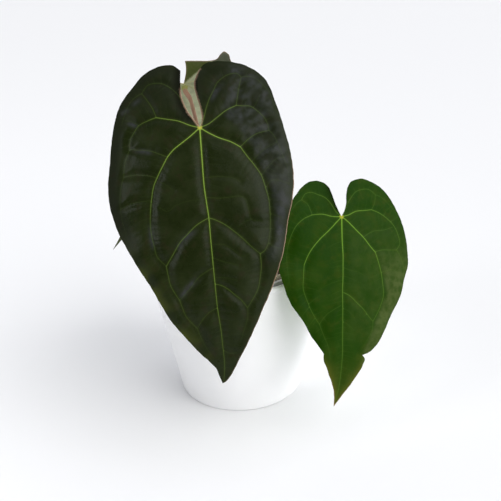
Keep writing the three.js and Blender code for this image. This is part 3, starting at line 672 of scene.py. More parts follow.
def blade_frame(blade):
    """The blade's own axes: across and along its plane, and the normal of its upper face."""
    junction = np.array(blade["junction"], float)
    along = np.array(blade["tip"], float) - junction
    length = np.linalg.norm(along)
    along /= length
    angle = math.radians(blade["heading"])
    across = np.cross([math.sin(angle), -math.cos(angle), 0], along)
    across /= np.linalg.norm(across)
    return junction, across, along, np.cross(along, across), length


def measure_veins(veins, places):
    """How far each place is from a vein's edge and middle, with that vein's look, and in what groove."""
    edge_gap, main_gap = np.full((2, len(places)), 1e9)
    pale, girth, groove = np.zeros((3, len(places)))
    for each in veins:
        gap, share = nearest(places, smooth_line(each["points"], MEASURE_STEP))
        half = each["wide"] + (each["narrow"] - each["wide"]) * share**0.8
        closer = gap - half < edge_gap
        edge_gap = np.where(closer, gap - half, edge_gap)
        pale = np.where(closer, each["pale"] + (each["faint"] - each["pale"]) * share**0.8, pale)
        girth = np.where(closer, half, girth)
        main_gap = np.minimum(main_gap, gap)
        groove += (each["depth"] * np.exp(-((gap / each["spread"]) ** 2))) ** 4
    return {
        "edge_gap": edge_gap, "main_gap": main_gap, "pale": pale, "girth": girth,
        "groove": np.minimum(1, groove**0.25),
    }


def measure_rungs(rungs, places):
    """How far each place is from a rung, and how deep it lies in one."""
    rung_gap = np.full(len(places), 1e9)
    rung_dip = np.zeros(len(places))
    for rung in rungs:
        near = np.linalg.norm(places - rung.mean(0), axis=1) < len(rung) / 2 + 12
        gap, share = nearest(places[near], even_points(rung, 3.0))
        rung_gap[near] = np.minimum(rung_gap[near], gap + 0.9 * share**2)
        depth = (1 - 0.7 * share) * np.exp(-((gap / RUNG_SPREAD) ** 2))
        rung_dip[near] = np.maximum(rung_dip[near], depth)
    return {"rung_gap": np.minimum(rung_gap, RUNG_FAR), "rung_dip": rung_dip}


def measure_blade(blade, flat, places):
    """What the blade's shape and colour hang on: how far each place is from veins, rungs and edges."""
    edges = [flat["margin"], *flat["sinus"]]
    margin_gap, *sinus_gaps = (nearest(places, even_points(edge, MEASURE_STEP))[0] for edge in edges)
    sinus_gap = np.minimum(*sinus_gaps)
    return {
        **measure_veins(blade["veins"], places), **measure_rungs(flat["rungs"], places),
        "margin_gap": margin_gap, "sinus_gap": sinus_gap, "rim": np.minimum(margin_gap, sinus_gap),
    }


def blade_heights(blade, length, places, found):
    """The heights of the upper and lower faces above the blade's plane."""
    u, v = places.T
    middle = 4 * blade["bow"] * (v / length) * (1 - v / length)
    middle -= blade["camber"] * (u / blade["half_width"]) ** 2
    bearing = np.arctan2(u, 0.35 * length - v)
    edge = np.clip(1 - found["margin_gap"] / (0.9 * blade["half_width"]), 0, 1) ** 3
    edge *= 1 - smoothstep(0.8, 1.0, v / length)
    middle += blade["ruffle"] * edge * np.sin(blade["ruffles"] * bearing + RUFFLE_START)
    away = np.hypot(u, v)
    lobe = np.where(v < 0, np.clip(1 - found["sinus_gap"] / FOLD_REACH, 0, 1) ** 2, 0)
    middle -= blade["fold"] * lobe * np.minimum(1, away / 60)
    calm = smoothstep(-2, 12, found["rim"]) * smoothstep(3, 26, away)
    middle += blade["puff"] * (1 - found["groove"]) * calm
    middle -= blade["rung"] * found["rung_dip"] * calm * smoothstep(0.5, 2.5, found["main_gap"])
    middle += UNEVEN_HEIGHT * noise_at(places, UNEVEN_SCALE, 3) * calm
    thick = MARGIN_THICKNESS + (BLADE_THICKNESS - MARGIN_THICKNESS) * smoothstep(0, 5, found["rim"])
    girth = found["girth"]
    ridge = np.exp(-((found["main_gap"] / (girth + 0.35)) ** 2))
    rib = np.exp(-((found["main_gap"] / (1.3 * girth + 0.5)) ** 2))
    cross = np.exp(-((found["rung_gap"] / 0.8) ** 2))
    end = smoothstep(0, 6, found["rim"] + 4 * (away < 6))
    top = middle + thick / 2 + RIDGE_HEIGHT * girth * ridge * end
    bottom = middle - thick / 2 - (RIB_HEIGHT * girth * rib + CROSS_HEIGHT * cross) * end
    return top, bottom


# Where each blade's colour differs from the rest of it, from 0 to 1, painted sheen and painted shade
# included


def outside(u, v, line):
    """Where a place lies outside a line down the blade."""
    line_u, line_v = np.array(line, float).T
    return smoothstep(0, 7, u - np.interp(v, line_v, line_u))


def margin_glow(found):
    return np.exp(-found["margin_gap"] / 5.5)


def painted_front_sheen(places, rim):
    """Painted sheen over the right side and along the sheen lines, and painted shade between its clouds."""
    u, v = places.T
    outer = outside(u, v, FRONT_PAINTED_SHEEN_EDGE) * smoothstep(0, 7, rim)
    sheen = 0.9 * outer * smoothstep(30, 90, v) * (1 - smoothstep(105, 150, v))
    upper = outer * (1 - smoothstep(40, 85, v))
    drawn = np.column_stack([0.5 * (u - 0.7 * v), 0.7 * u + v])
    cloudy = smoothstep(-0.38, 0.36, noise_at(drawn, 8, 21) + 0.3 * noise_at(places, 3.5, 27))
    sheen = np.maximum(sheen, 0.6 * upper * cloudy)
    for line in FRONT_PAINTED_SHEEN_LINES:
        gap, share = nearest(places, even_points(line, MEASURE_STEP))
        ends = smoothstep(0, 0.4, share) * (1 - smoothstep(0.6, 1, share))
        sheen = np.maximum(sheen, 0.95 * ends * np.exp(-((gap / 2.4) ** 2)))
    return sheen, 0.4 * upper * (1 - cloudy)


def front_masks(places, found):
    u, v = places.T
    rim, sinus_gap = found["rim"], found["sinus_gap"]
    patches = smoothstep(-0.25, 0.35, noise_at(places, 16, 9))
    down = smoothstep(90, 150, v) * (1 - smoothstep(212, 235, v))
    right = (u > 0) * smoothstep(30, 60, v) * (1 - 0.6 * smoothstep(160, 185, v))
    turned_back = (sinus_gap < 2.5) * np.where(u < 0.2 * v, smoothstep(-46, -36, v), 0.7)
    line = 1 - smoothstep(0.2, np.where(sinus_gap < 2.5, 1.45, 0.9), rim)
    # Painted shade: the fold beside the left sinus, the lobes and the lower left margin are darkened.
    fold = np.exp(-((sinus_gap / 9.0) ** 2)) * (u < 0) * smoothstep(2, 12, -v)
    left_edge = (1 - smoothstep(5, 17, found["margin_gap"])) * (u < 0) * (1 - smoothstep(80, 120, v))
    sheen, between = painted_front_sheen(places, rim)
    return {
        "warm": margin_glow(found) * patches * down * (u < 0),
        "rosy": line * np.maximum(right, turned_back),
        # Painted shade on this line, painted sheen on the next.
        "painted_shade": np.maximum.reduce([fold, 0.28 * smoothstep(0, 40, -v), 0.45 * left_edge, between]),
        "painted_sheen_and_shade": sheen,
    }


def right_masks(places, found):
    u, v = places.T
    # Painted sheen over the right half and outside its edge line; painted shade beside the left sinus.
    half = 0.2 * smoothstep(0, 14, u) * smoothstep(-20, 30, v) * (1 - smoothstep(110, 150, v))
    tip = 0.22 * smoothstep(130, 180, v)
    return {
        "warm": np.maximum(margin_glow(found) * smoothstep(135, 160, v), tip),
        "rosy": (1 - smoothstep(0.2, 0.8, found["rim"])) * smoothstep(150, 190, v),
        "painted_shade": np.exp(-found["sinus_gap"] / 5.0) * (u < 0) * smoothstep(2, 9, -v),
        "painted_sheen_and_shade": np.maximum(half, outside(u, v, RIGHT_PAINTED_SHEEN_EDGE) * smoothstep(10, 75, v)),
    }


def back_masks(places, found):
    """Painted shade past a crease line on its lower left lobe, which is not bent, and grey painted shade at
    the lobe's end.
    """
    u, v = places.T
    # Painted shade beyond the crease line, and on the lobe's end a grey painted shade beneath and a painted
    # sheen on top.
    crease = v + 0.6 - 0.82 * u
    return {
        "warm": 0.6 * margin_glow(found),
        "rosy": 0.6 * (1 - smoothstep(0.3, 1.1, found["rim"])),
        "painted_shade": (1 - smoothstep(-1.2, 1.2, crease)) * (u < 0) * (v < 0),
        "painted_sheen_and_shade": smoothstep(14, 22, -v) * smoothstep(33, 40, -u),
    }


def left_masks(places, found):
    return {"warm": np.maximum(0.6 * margin_glow(found), smoothstep(94, 106, places[:, 1]))}


MASKS = {
    "blade_front": front_masks, "blade_right": right_masks,
    "blade_back": back_masks, "blade_left": left_masks,
}


# Meshes


def show_mesh(name, vertices, faces, slots, materials, sharp, values):
    """A piece from vertices in millimetres, faces with their materials' numbers, and vertices' values."""
    mesh = bpy.data.meshes.new(name)
    mesh.from_pydata((np.asarray(vertices) * METRES).tolist(), [], faces)
    for key, value in values.items():
        layer = mesh.attributes.new(key, "FLOAT", "POINT")
        layer.data.foreach_set("value", np.asarray(value, np.float32))
    for material in materials:
        mesh.materials.append(material)
    mesh.polygons.foreach_set("material_index", np.array(slots, np.int32))
    mesh.shade_smooth()
    mesh.set_sharp_from_angle(angle=math.radians(sharp))
    piece = bpy.data.objects.new(name, mesh)
    bpy.context.scene.collection.objects.link(piece)
    return piece


def add_mesh(name, parts, materials, sharp, values=None):
    """One piece from parts, each its vertices, its faces and its material's number."""
    vertices, faces, slots = [], [], []
    for points, part_faces, number in parts:
        faces += [tuple(corner + len(vertices) for corner in face) for face in part_faces]
        vertices.extend(np.asarray(points))
        slots += [number] * len(part_faces)
    return show_mesh(name, vertices, faces, slots, materials, sharp, values or {})


def lay_out(mesh, places, under):
    """A flat map of the blade, its upper face beside its lower one."""
    low = places.min(0) - 2
    flat = (places - low) / (places.max(0) + 2 - low).max()
    loops = np.zeros(len(mesh.loops), np.int32)
    mesh.loops.foreach_get("vertex_index", loops)
    is_lower = np.repeat(
        [poly.material_index == 1 for poly in mesh.polygons], [len(poly.vertices) for poly in mesh.polygons]
    )
    spot = flat[loops % under]
    spot = np.column_stack([spot[:, 0] * 0.5 + 0.5 * is_lower, spot[:, 1]])
    layer = mesh.uv_layers.new(name="OFBake")
    layer.data.foreach_set("uv", spot.astype(np.float32).ravel())


def add_blade(node, blade, seed, materials):
    flat = flat_blade(blade, seed)
    places, triangles = triangulated(blade_points(blade, flat), len(flat["polygon"]))
    found = measure_blade(blade, flat, places)
    junction, across, along, normal, length = blade_frame(blade)
    base = junction + places[:, :1] * across + places[:, 1:] * along
    heights = blade_heights(blade, length, places, found)
    vertices = np.vstack([base + height[:, None] * normal for height in heights])
    under = len(places)
    triangles = triangles.tolist()
    edges = dict.fromkeys(edge for a, b, c in triangles for edge in ((a, b), (b, c), (c, a)))
    faces = triangles + [[corner + under for corner in face[::-1]] for face in triangles]
    faces += [(end, start, start + under, end + under) for start, end in edges if (end, start) not in edges]
    slots = np.zeros(len(faces), np.int32)
    slots[len(triangles):2 * len(triangles)] = 1
    values = {
        "vein": found["edge_gap"], "pale": found["pale"], "rung": found["rung_gap"],
        "hub": np.hypot(*places.T),
        **dict.fromkeys(("warm", "rosy", "painted_shade", "painted_sheen_and_shade"), np.zeros(under)),
        **MASKS[node](places, found),
    }
    values = {key: np.tile(value, 2) for key, value in values.items()}
    piece = show_mesh(node + "_leaf", vertices, faces, slots, materials, 50, values)
    lay_out(piece.data, places, under)
    return piece


# Tubes and turned pieces


def ring_faces(rings, sides):
    """The quads between rings of vertices."""
    faces = []
    for ring in range(rings - 1):
        for step in range(sides):
            a = ring * sides + step
            b = ring * sides + (step + 1) % sides
            faces.append((a, b, b + sides, a + sides))
    return faces


def tube(line, radius_at, sides):
    """Vertices, faces and shares along of a closed tube. Its radius is set by share and angle."""
    gaps = np.linalg.norm(np.diff(line, axis=0), axis=1)
    shares = np.concatenate([[0], np.cumsum(gaps)]) / gaps.sum()
    ways = np.gradient(line, axis=0)
    ways /= np.linalg.norm(ways, axis=1)[:, None]
    spoke = np.cross(ways[0], (0.31, 0.9, 0.2))
    vertices = []
    for centre, way, share in zip(line, ways, shares):
        spoke = spoke - way * np.dot(spoke, way)
        spoke /= np.linalg.norm(spoke)
        other = np.cross(way, spoke)
        for angle in 2 * math.pi * np.arange(sides) / sides:
            ray = spoke * math.cos(angle) + other * math.sin(angle)
            vertices.append(centre + ray * radius_at(share, angle))
    top = (len(line) - 1) * sides
    faces = ring_faces(len(line), sides) + [tuple(range(sides))[::-1], tuple(range(top, top + sides))]
    return np.array(vertices), faces, np.repeat(shares, sides)


def turned(profile, sides):
    """Vertices and faces of a profile of radius and height that starts and ends on the Z axis."""
    rings = profile[1:-1]
    angles = 2 * math.pi * np.arange(sides) / sides
    vertices = [(r * math.cos(a), r * math.sin(a), h) for r, h in rings for a in angles]
    low = len(vertices)
    top = low - sides
    vertices += [(0, 0, profile[0][1]), (0, 0, profile[-1][1])]
    faces = ring_faces(len(rings), sides)
    for step in range(sides):
        after = (step + 1) % sides
        faces += [(low, after, step), (low + 1, top + step, top + after)]
    return np.array(vertices), faces


def arc(radius, height, round_by, start, end, steps=6):
    """A quarter round in a profile, in degrees from the outward radius."""
    angles = np.radians(np.linspace(start, end, steps + 1))
    return [(radius + round_by * math.cos(a), height + round_by * math.sin(a)) for a in angles]


# Pots


def add_cover_pot(material):
    slope = (POT_TOP_RADIUS - POT_BASE_RADIUS) / POT_HEIGHT
    collar = POT_HEIGHT - COLLAR_DROP
    rim = POT_HEIGHT - RIM_ROUND
    floor_edge = POT_FLOOR + EDGE_ROUND

    def outer(height):
        return POT_BASE_RADIUS + slope * height

    def inner(height):
        return outer(height) - POT_WALL

    foot = outer(EDGE_ROUND) - EDGE_ROUND
    profile = [(0, FOOT_RECESS), (foot - FOOT_RING - FOOT_SLANT, FOOT_RECESS)]
    profile += arc(foot - FOOT_RING, BEAD, BEAD, 180, 270, 4)
    profile += arc(foot, EDGE_ROUND, EDGE_ROUND, -90, 0)
    profile += [(outer(h) - COLLAR_PROUD * h / collar, h) for h in np.linspace(8, collar - 3, 16)]
    for share in np.linspace(0, 1, 6):
        height = collar + COLLAR_STEP * (share - 0.5)
        profile.append((outer(height) - COLLAR_PROUD * (1 - smoothstep(0, 1, share)), height))
    profile += arc(outer(rim) - RIM_ROUND, rim, RIM_ROUND, 0, 90)
    profile += arc(inner(rim) + RIM_ROUND, rim, RIM_ROUND, 90, 180)
    profile += [(inner(h) - COLLAR_PROUD, h) for h in (collar, collar - 6, POT_HEIGHT / 2)]
    profile += arc(inner(floor_edge) - EDGE_ROUND, floor_edge, EDGE_ROUND, 0, -90)
    profile.append((0, POT_FLOOR))
    return add_mesh("cover_pot_shell", [(*turned(profile, POT_SIDES), 0)], [material], 50)


def inner_radius(height):
    slope = (INNER_TOP_RADIUS - INNER_BASE_RADIUS) / (INNER_RIM_HEIGHT - INNER_FOOT)
    return INNER_BASE_RADIUS + slope * (height - INNER_FOOT)


def add_nursery_pot(material):
    lip_foot = INNER_RIM_HEIGHT - LIP_DEPTH
    lip = INNER_TOP_RADIUS + LIP_WIDTH
    inside_rim = INNER_TOP_RADIUS - INNER_WALL
    bead_height = INNER_RIM_HEIGHT - BEAD
    wall_rows = (40, 80, 120)
    profile = [(0, INNER_FOOT), (INNER_BASE_RADIUS - 1, INNER_FOOT), (INNER_BASE_RADIUS, INNER_FOOT + 1)]
    profile += [(inner_radius(h), h) for h in (*wall_rows, lip_foot - 1)]
    profile += [(inner_radius(lip_foot) + LIP_WIDTH - LIP_SLANT, lip_foot), (lip - 0.4, lip_foot + 0.6)]
    profile.append((lip - 0.2, INNER_RIM_HEIGHT - LIP_SLANT))
    profile += arc(lip - BEAD, bead_height, BEAD, 0, 90, 4)
    profile += arc(inside_rim + BEAD, bead_height, BEAD, 90, 180, 4)
    profile += [(inside_rim - 0.3, INNER_RIM_HEIGHT - 4)]
    profile += [(inner_radius(wall_rows[-1]) - INNER_WALL, wall_rows[-1])]
    profile += [(INNER_BASE_RADIUS - INNER_WALL, INNER_FOOT + 3)]
    profile += [(INNER_BASE_RADIUS - 3, INNER_FOOT + INNER_WALL), (0, INNER_FOOT + INNER_WALL)]
    return add_mesh("nursery_pot_shell", [(*turned(profile, INNER_SIDES), 0)], [material], 40)


# Potting mix


def mix_height(radius):
    return MIX_EDGE_HEIGHT + MIX_CROWN * (1 - (radius / INNER_TOP_RADIUS) ** 2)


def ball(divisions):
    """A unit ball of small triangles."""
    work = bmesh.new()
    bmesh.ops.create_icosphere(work, subdivisions=divisions, radius=1.0)
    work.verts.index_update()
    vertices = np.array([vertex.co[:] for vertex in work.verts])
    faces = [tuple(vertex.index for vertex in face.verts) for face in work.faces]
    work.free()
    return vertices, faces


def rough(points, amount, scale, seed):
    """The points moved out or in by smooth noise."""
    shift = Vector((seed, seed * 0.7, 0))
    moved = [1 + amount * noise.noise(Vector(point) * scale + shift) for point in points]
    return points * np.array(moved)[:, None]


def chip(base, size, flat, draw):
    """A slab of bark: boxy, flat, with a rough broken edge and grain along its length."""
    points = np.sign(base) * np.abs(base) ** 0.55
    points = rough(points, 0.45, 1.3, draw.uniform(0, 90))
    points = rough(points, 0.16, 4.0, draw.uniform(0, 90))
    points[:, 2] += [0.14 * noise.noise(Vector((x * 0.6, y * 5, z * 5 + size))) for x, y, z in points]
    return points * (size, size * draw.uniform(0.5, 0.8), size * flat)


def pebble(base, size, draw):
    """A lump of pumice: rounded and pitted."""
    points = rough(base, 0.35, 1.1, draw.uniform(0, 90))
    points = rough(points, 0.12, 4.5, draw.uniform(0, 90))
    return points * (size, size * draw.uniform(0.7, 0.95), size * draw.uniform(0.6, 0.85))


def turned_points(points, draw, tilt):
    turn = Matrix.Rotation(draw.uniform(0, 2 * math.pi), 3, "Z")
    lean = Matrix.Rotation(draw.gauss(0, tilt), 3, "X") @ Matrix.Rotation(draw.gauss(0, tilt), 3, "Y")
    return points @ np.array(turn @ lean).T


def add_bed(edge, material):
    """The crumbly top of the mix, with plain sides that narrow down to the pot's floor."""
    foot = INNER_FOOT + INNER_WALL + MIX_GAP
    bed = [(0, 0, mix_height(0))]
    for ring in range(1, BED_RINGS + 1):
        radius = edge * ring / BED_RINGS
        for angle in 2 * math.pi * np.arange(BED_SPOKES) / BED_SPOKES:
            x, y = radius * math.cos(angle), radius * math.sin(angle)
            crumb = 1.6 * noise.noise(Vector((x, y, 3)) / 5) + 0.9 * noise.noise(Vector((x, y, 7)) / 2)
            bed.append((x, y, mix_height(radius) - BED_SINK + crumb * (ring < BED_RINGS)))
    bed += [(0.66 * x, 0.66 * y, foot) for x, y, _ in bed[-BED_SPOKES:]] + [(0, 0, foot)]
    last = 1 + BED_RINGS * BED_SPOKES
    faces = [(a + 1, d + 1, c + 1, b + 1) for a, b, c, d in ring_faces(BED_RINGS + 1, BED_SPOKES)]
    for spoke in range(BED_SPOKES):
        after = (spoke + 1) % BED_SPOKES
        faces += [(0, 1 + spoke, 1 + after), (last + spoke, last + BED_SPOKES, last + after)]
    return add_mesh("potting_mix_bed", [(bed, faces, 0)], [material], 60)


def add_mix(materials):
    """The mix: a bed, with bark chips and pumice lying on it and sunk into it."""
    draw = random.Random(MIX_SEED)
    edge = inner_radius(MIX_EDGE_HEIGHT) - INNER_WALL - MIX_GAP
    soil = add_bed(edge, materials["soil"])
    coarse, fine = ball(2), ball(3)
    bark, bark_tone, lumps, lump_tone = [], [], [], []
    for number in range(LUMPS):
        away = FIRST_LUMP_RADIUS + (edge - FIRST_LUMP_RADIUS - 2) * math.sqrt((number + 0.5) / LUMPS)
        angle = number * math.pi * (3 - math.sqrt(5)) + draw.uniform(-0.1, 0.1)
        large = number % 3 == 0
        base = fine if large and draw.random() < 0.6 else coarse
        is_bark = draw.random() < BARK_SHARE
        if is_bark:
            size = draw.uniform(5.5, 9.5) if large else draw.uniform(2.6, 5)
            points = turned_points(chip(base[0], size, draw.uniform(0.22, 0.42), draw), draw, 0.35)
        else:
            size = draw.uniform(3.2, 5.4) if large else draw.uniform(1.5, 3)
            points = turned_points(pebble(base[0], size, draw), draw, 1.0)
        away = min(away, edge - 0.9 * size)
        height = mix_height(away) + (draw.uniform(-0.5, 1.8) if large else draw.uniform(-1, 0.8))
        points = points + (away * math.cos(angle), away * math.sin(angle), height)
        target, tones = (bark, bark_tone) if is_bark else (lumps, lump_tone)
        target.append((points, base[1], 0))
        tones += [draw.random()] * len(points)
    seen = pebble(fine[0], SEEN_LUMP_SIZE, draw) + SEEN_LUMP_PLACE
    lumps.append((seen, fine[1], 0))
    lump_tone += [SEEN_LUMP_TONE] * len(seen)
    chips = add_mesh("bark_chips", bark, [materials["bark"]], 70, {"tone": bark_tone})
    return [soil, chips, add_mesh("pumice_lumps", lumps, [materials["pumice"]], 80, {"tone": lump_tone})]


# Stem and stalks


def wave(value, middle, spread):
    """A smooth bump of height 1."""
    return math.exp(-((value - middle) / spread) ** 2)


def add_stem(materials):
    """The stem with its leaf scars, its pointed bud and its short roots."""

    def radius(share, angle):
        scar = (share * SCARS) % 1
        ring = 0.7 * wave(scar, 0.5, 0.09) - 0.35 * wave(scar, 0.62, 0.06)
        lump = 0.5 * noise.noise(Vector((3 * math.cos(angle), 3 * math.sin(angle), 9 * share)))
        crown = STEM_CROWN_ROUND * smoothstep(0.93, 1.0, share)
        return STEM_RADIUS - STEM_TAPER * share + ring + lump - crown

    def bud_radius(share, angle):
        return BUD_RADIUS * math.sqrt(1.01 - share) * (1 + 0.06 * math.cos(2 * angle))

    head = np.array(STEM_HEAD, float)
    stem_line = curve_through([STEM_FOOT, STEM_WAIST, STEM_HEAD], 40)
    bud_line = curve_through([head - (0, 0, BUD_SINK), head + (0.4, 0.4, 8), head + (1, 1, BUD_HEIGHT)], 12)
    tubes = [tube(stem_line, radius, 40), tube(bud_line, bud_radius, 20)]
    for bearing, height, reach in ROOTS:
        ray = np.array([math.cos(math.radians(bearing)), math.sin(math.radians(bearing)), 0])
        start = np.array([*STEM_WAIST[:2], height], float)
        route = [start + 4 * ray, start + reach * ray - (0, 0, 1), start + (reach + 6) * ray - (0, 0, 6)]
        tubes.append(tube(curve_through(route, 10), lambda share, angle: ROOT_RADIUS - share, 14))
    parts = [(vertices, faces, min(number, 2)) for number, (vertices, faces, _) in enumerate(tubes)]
    along = np.concatenate([shares for _, _, shares in tubes])
    return add_mesh("stem_body", parts, materials, 60, {"along": along})


def stalk_line(route, blade):
    """The stalk's route, then its knee, which meets the blade's underside squarely."""
    junction, _, along, normal, length = blade_frame(blade)
    rise = 4 * blade["bow"] / length
    square = normal - along * rise
    square /= np.linalg.norm(square)
    under = junction + along * KNEE_SET_IN + normal * rise * KNEE_SET_IN
    end = under - square * (KNEE_DROP - KNEE_OVERLAP)
    start = end - square * (blade["knee"] + KNEE_OVERLAP)
    return curve_through([*route, start, end], 26)


def add_stalk(node, blade, material, seed):

    def radius(share, angle):
        sheath = max(0, 1 - share / SHEATH_SHARE)
        knee = smoothstep(KNEE_SHARE, KNEE_FULL_SHARE, share)
        plain = STALK_RADIUS + (STALK_BASE_RADIUS - STALK_RADIUS) * sheath
        plain += (KNEE_RADIUS - STALK_RADIUS) * knee
        waist = 0.3 * wave(share, KNEE_SHARE + 0.015, 0.012) * (1 - sheath)
        wrinkle = 0.07 * knee * math.sin(share * 420)
        ridge = 0.12 * (1 - knee) * math.cos(4 * angle)
        bump = 0.12 * noise.noise(Vector((math.cos(angle), math.sin(angle), share * 30 + seed)))
        flare = KNEE_FLARE * smoothstep(0.975, 1.0, share)
        return (plain + ridge + bump + wrinkle - waist + flare) * blade["girth"]

    vertices, faces, shares = tube(stalk_line(STALKS[node], blade), radius, 24)
    return add_mesh(node + "_stalk", [(vertices, faces, 0)], [material], 60, {"along": shares})


# Materials

NOISE_ROUGHNESS = 0.55


class Nodes:
    """A tree of nodes, with a short way to add each kind that is used here."""

    def __init__(self, tree):
        self.tree = tree

    def plug(self, socket, value):
        """Link a socket to another node's output, or set it to a number, a place or a colour."""
        if isinstance(value, bpy.types.NodeSocket):
            self.tree.links.new(value, socket)
        elif socket.type == "RGBA":
            socket.default_value = (*value, 1.0)
        else:
            socket.default_value = value

    def node(self, kind, inputs, output=0, **settings):
        """The output of a new node."""
        made = self.tree.nodes.new("ShaderNode" + kind)
        for key, value in settings.items():
            setattr(made, key, value)
        for key, value in inputs.items():
            self.plug(made.inputs[key], value)
        return made.outputs[output]

    def mix(self, factor, first, second):
        return self.node("Mix", {0: factor, 6: first, 7: second}, 2, data_type="RGBA", clamp_factor=True)

    def attribute(self, name):
        return self.node("Attribute", {}, "Fac", attribute_name=name)

    def span(self, value, low, high, to_low=0.0, to_high=1.0, way="SMOOTHSTEP"):
        """A value's place between two limits, as a number from to_low to to_high."""
        limits = {"From Min": low, "From Max": high, "To Min": to_low, "To Max": to_high}
        return self.node("MapRange", {"Value": value, **limits}, "Result", interpolation_type=way)

    def add(self, first, second):
        return self.node("Math", {0: first, 1: second}, operation="ADD")

    def times(self, first, second):
        return self.node("Math", {0: first, 1: second}, operation="MULTIPLY")

    def noise(self, scale, detail=3.0, stretch=None):
        """Noise in the object's own space. The scale is how many features there are in a metre."""
        place = self.node("TexCoord", {}, "Object")
        if stretch:
            place = self.node("Mapping", {"Vector": place, "Scale": stretch})
        look = {"Vector": place, "Scale": scale, "Detail": detail, "Roughness": NOISE_ROUGHNESS}
        return self.node("TexNoise", look, "Fac")


class Skin(Nodes):
    """A material whose plain values are set on its main shader's own sockets."""

    def __init__(self, name, **settings):
        self.material = bpy.data.materials.new(name)
        self.material.use_nodes = True
        super().__init__(self.material.node_tree)
        self.shader = self.tree.nodes["Principled BSDF"]
        self.put(settings)

    def put(self, settings):
        """Plug values into the shader's sockets, named with a low line for each space."""
        for socket, value in settings.items():
            self.plug(self.shader.inputs[socket.replace("_", " ")], value)

    def finished(self, base, height, distance, strength, **settings):
        """The material, with its colour, its fine relief and what else varies over it."""
        normal = self.node("Bump", {"Height": height, "Distance": distance, "Strength": strength}, "Normal")
        self.put({"Base_Color": base, "Normal": normal, **settings})
        return self.material


def leaf_top(name, look):
    skin = Skin(name, IOR=1.45, Specular_IOR_Level=look["specular"])
    mottle = skin.noise(55, 4)
    vein_gap = skin.attribute("vein")
    pale = skin.attribute("pale")
    painted_shade = skin.attribute("painted_shade")
    base = skin.mix(skin.span(mottle, 0.35, 0.7), look["dark"], look["light"])
    base = skin.mix(skin.span(skin.noise(110, 4), 0.5, 0.75, 0.0, 0.7), base, look["brown"])
    base = skin.mix(skin.times(skin.attribute("warm"), 0.9), base, look["warm"])
    # Painted shade.
    base = skin.mix(painted_shade, base, look["painted_shade"])
    # Painted sheen, in patches.
    patchy = skin.span(skin.noise(130, 4), 0.3, 0.65, 0.35, 1.0)
    base = skin.mix(skin.times(skin.attribute("painted_sheen_and_shade"), patchy), base, look["painted_sheen_and_shade"])
    rung = skin.times(skin.span(skin.attribute("rung"), 0.8, 0.1), look["rung"])
    base = skin.mix(rung, base, look["faint_vein"])
    glow = skin.times(skin.span(vein_gap, 2.2, 0.0), skin.times(pale, 0.08))
    base = skin.mix(glow, base, look["vein"])
    ribbon = skin.mix(pale, look["faint_vein"], look["vein"])
    strength = skin.span(pale, 0.0, 0.6, 0.12, 1.0, "LINEAR")
    base = skin.mix(skin.times(skin.span(vein_gap, 0.24, -0.25), strength), base, ribbon)
    base = skin.mix(skin.times(skin.attribute("rosy"), 0.85), base, look["rim"])
    base = skin.mix(skin.span(skin.attribute("hub"), 3.2, 0.8), base, look["hub"])
    roughness = skin.span(mottle, 0.3, 0.7, look["rough"] - 0.05, look["rough"] + 0.07)
    relief = skin.add(skin.times(skin.noise(900, 2), 0.4), skin.times(skin.noise(430, 2), 0.6))
    return skin.finished(base, relief, 0.00035, 0.5, Roughness=skin.add(roughness, skin.times(painted_shade, 0.62)))


def leaf_under(name, look):
    skin = Skin(name, Roughness=0.5, IOR=1.42, Specular_IOR_Level=0.35)
    base = skin.mix(skin.span(skin.noise(90, 4), 0.3, 0.7), look["under_dark"], look["under_light"])
    rung = skin.times(skin.span(skin.attribute("rung"), 0.9, 0.1), 0.35)
    base = skin.mix(rung, base, look["under_vein"])
    strength = skin.span(skin.attribute("pale"), 0, 0.5, 0.35, 0.9)
    ribbon = skin.times(skin.span(skin.attribute("vein"), 0.9, -0.5), strength)
    base = skin.mix(ribbon, base, look["under_vein"])
    # Painted shade.
    base = skin.mix(skin.attribute("painted_shade"), base, look["under_painted_shade"])
    # Grey painted shade, on the back leaf's underside only.
    if "under_painted_grey_shade" in look:
        base = skin.mix(skin.attribute("painted_sheen_and_shade"), base, look["under_painted_grey_shade"])
    base = skin.mix(skin.times(skin.attribute("rosy"), 0.9), base, look["rim"])
    return skin.finished(base, skin.noise(500), 0.0003, 0.5)


# Painted light among these colours: a near-black painted shade and a grey painted sheen on top, and an olive
# painted shade beneath.
DARK_LEAF = {
    "dark": (0.0095, 0.0147, 0.0026), "light": (0.015, 0.0215, 0.005), "brown": (0.0155, 0.0148, 0.0045),
    "warm": (0.05, 0.062, 0.006), "painted_shade": (0.0035, 0.004, 0.0012), "painted_sheen_and_shade": (0.033, 0.036, 0.036),
    "faint_vein": (0.035, 0.055, 0.016), "vein": (0.21, 0.33, 0.045), "rung": 0.12,
    "hub": (0.42, 0.42, 0.06), "rim": (0.44, 0.29, 0.2), "rough": 0.3, "specular": 0.115,
    "under_dark": (0.16, 0.21, 0.09), "under_light": (0.22, 0.27, 0.13),
    "under_vein": (0.36, 0.38, 0.17), "under_painted_shade": (0.09, 0.115, 0.02),
}
# The grey beneath is painted shade.
BACK_LEAF = {
    **DARK_LEAF,
    "under_dark": (0.48, 0.51, 0.33), "under_light": (0.62, 0.65, 0.44),
    "under_vein": (0.6, 0.6, 0.32), "under_painted_grey_shade": (0.12, 0.135, 0.085),
}
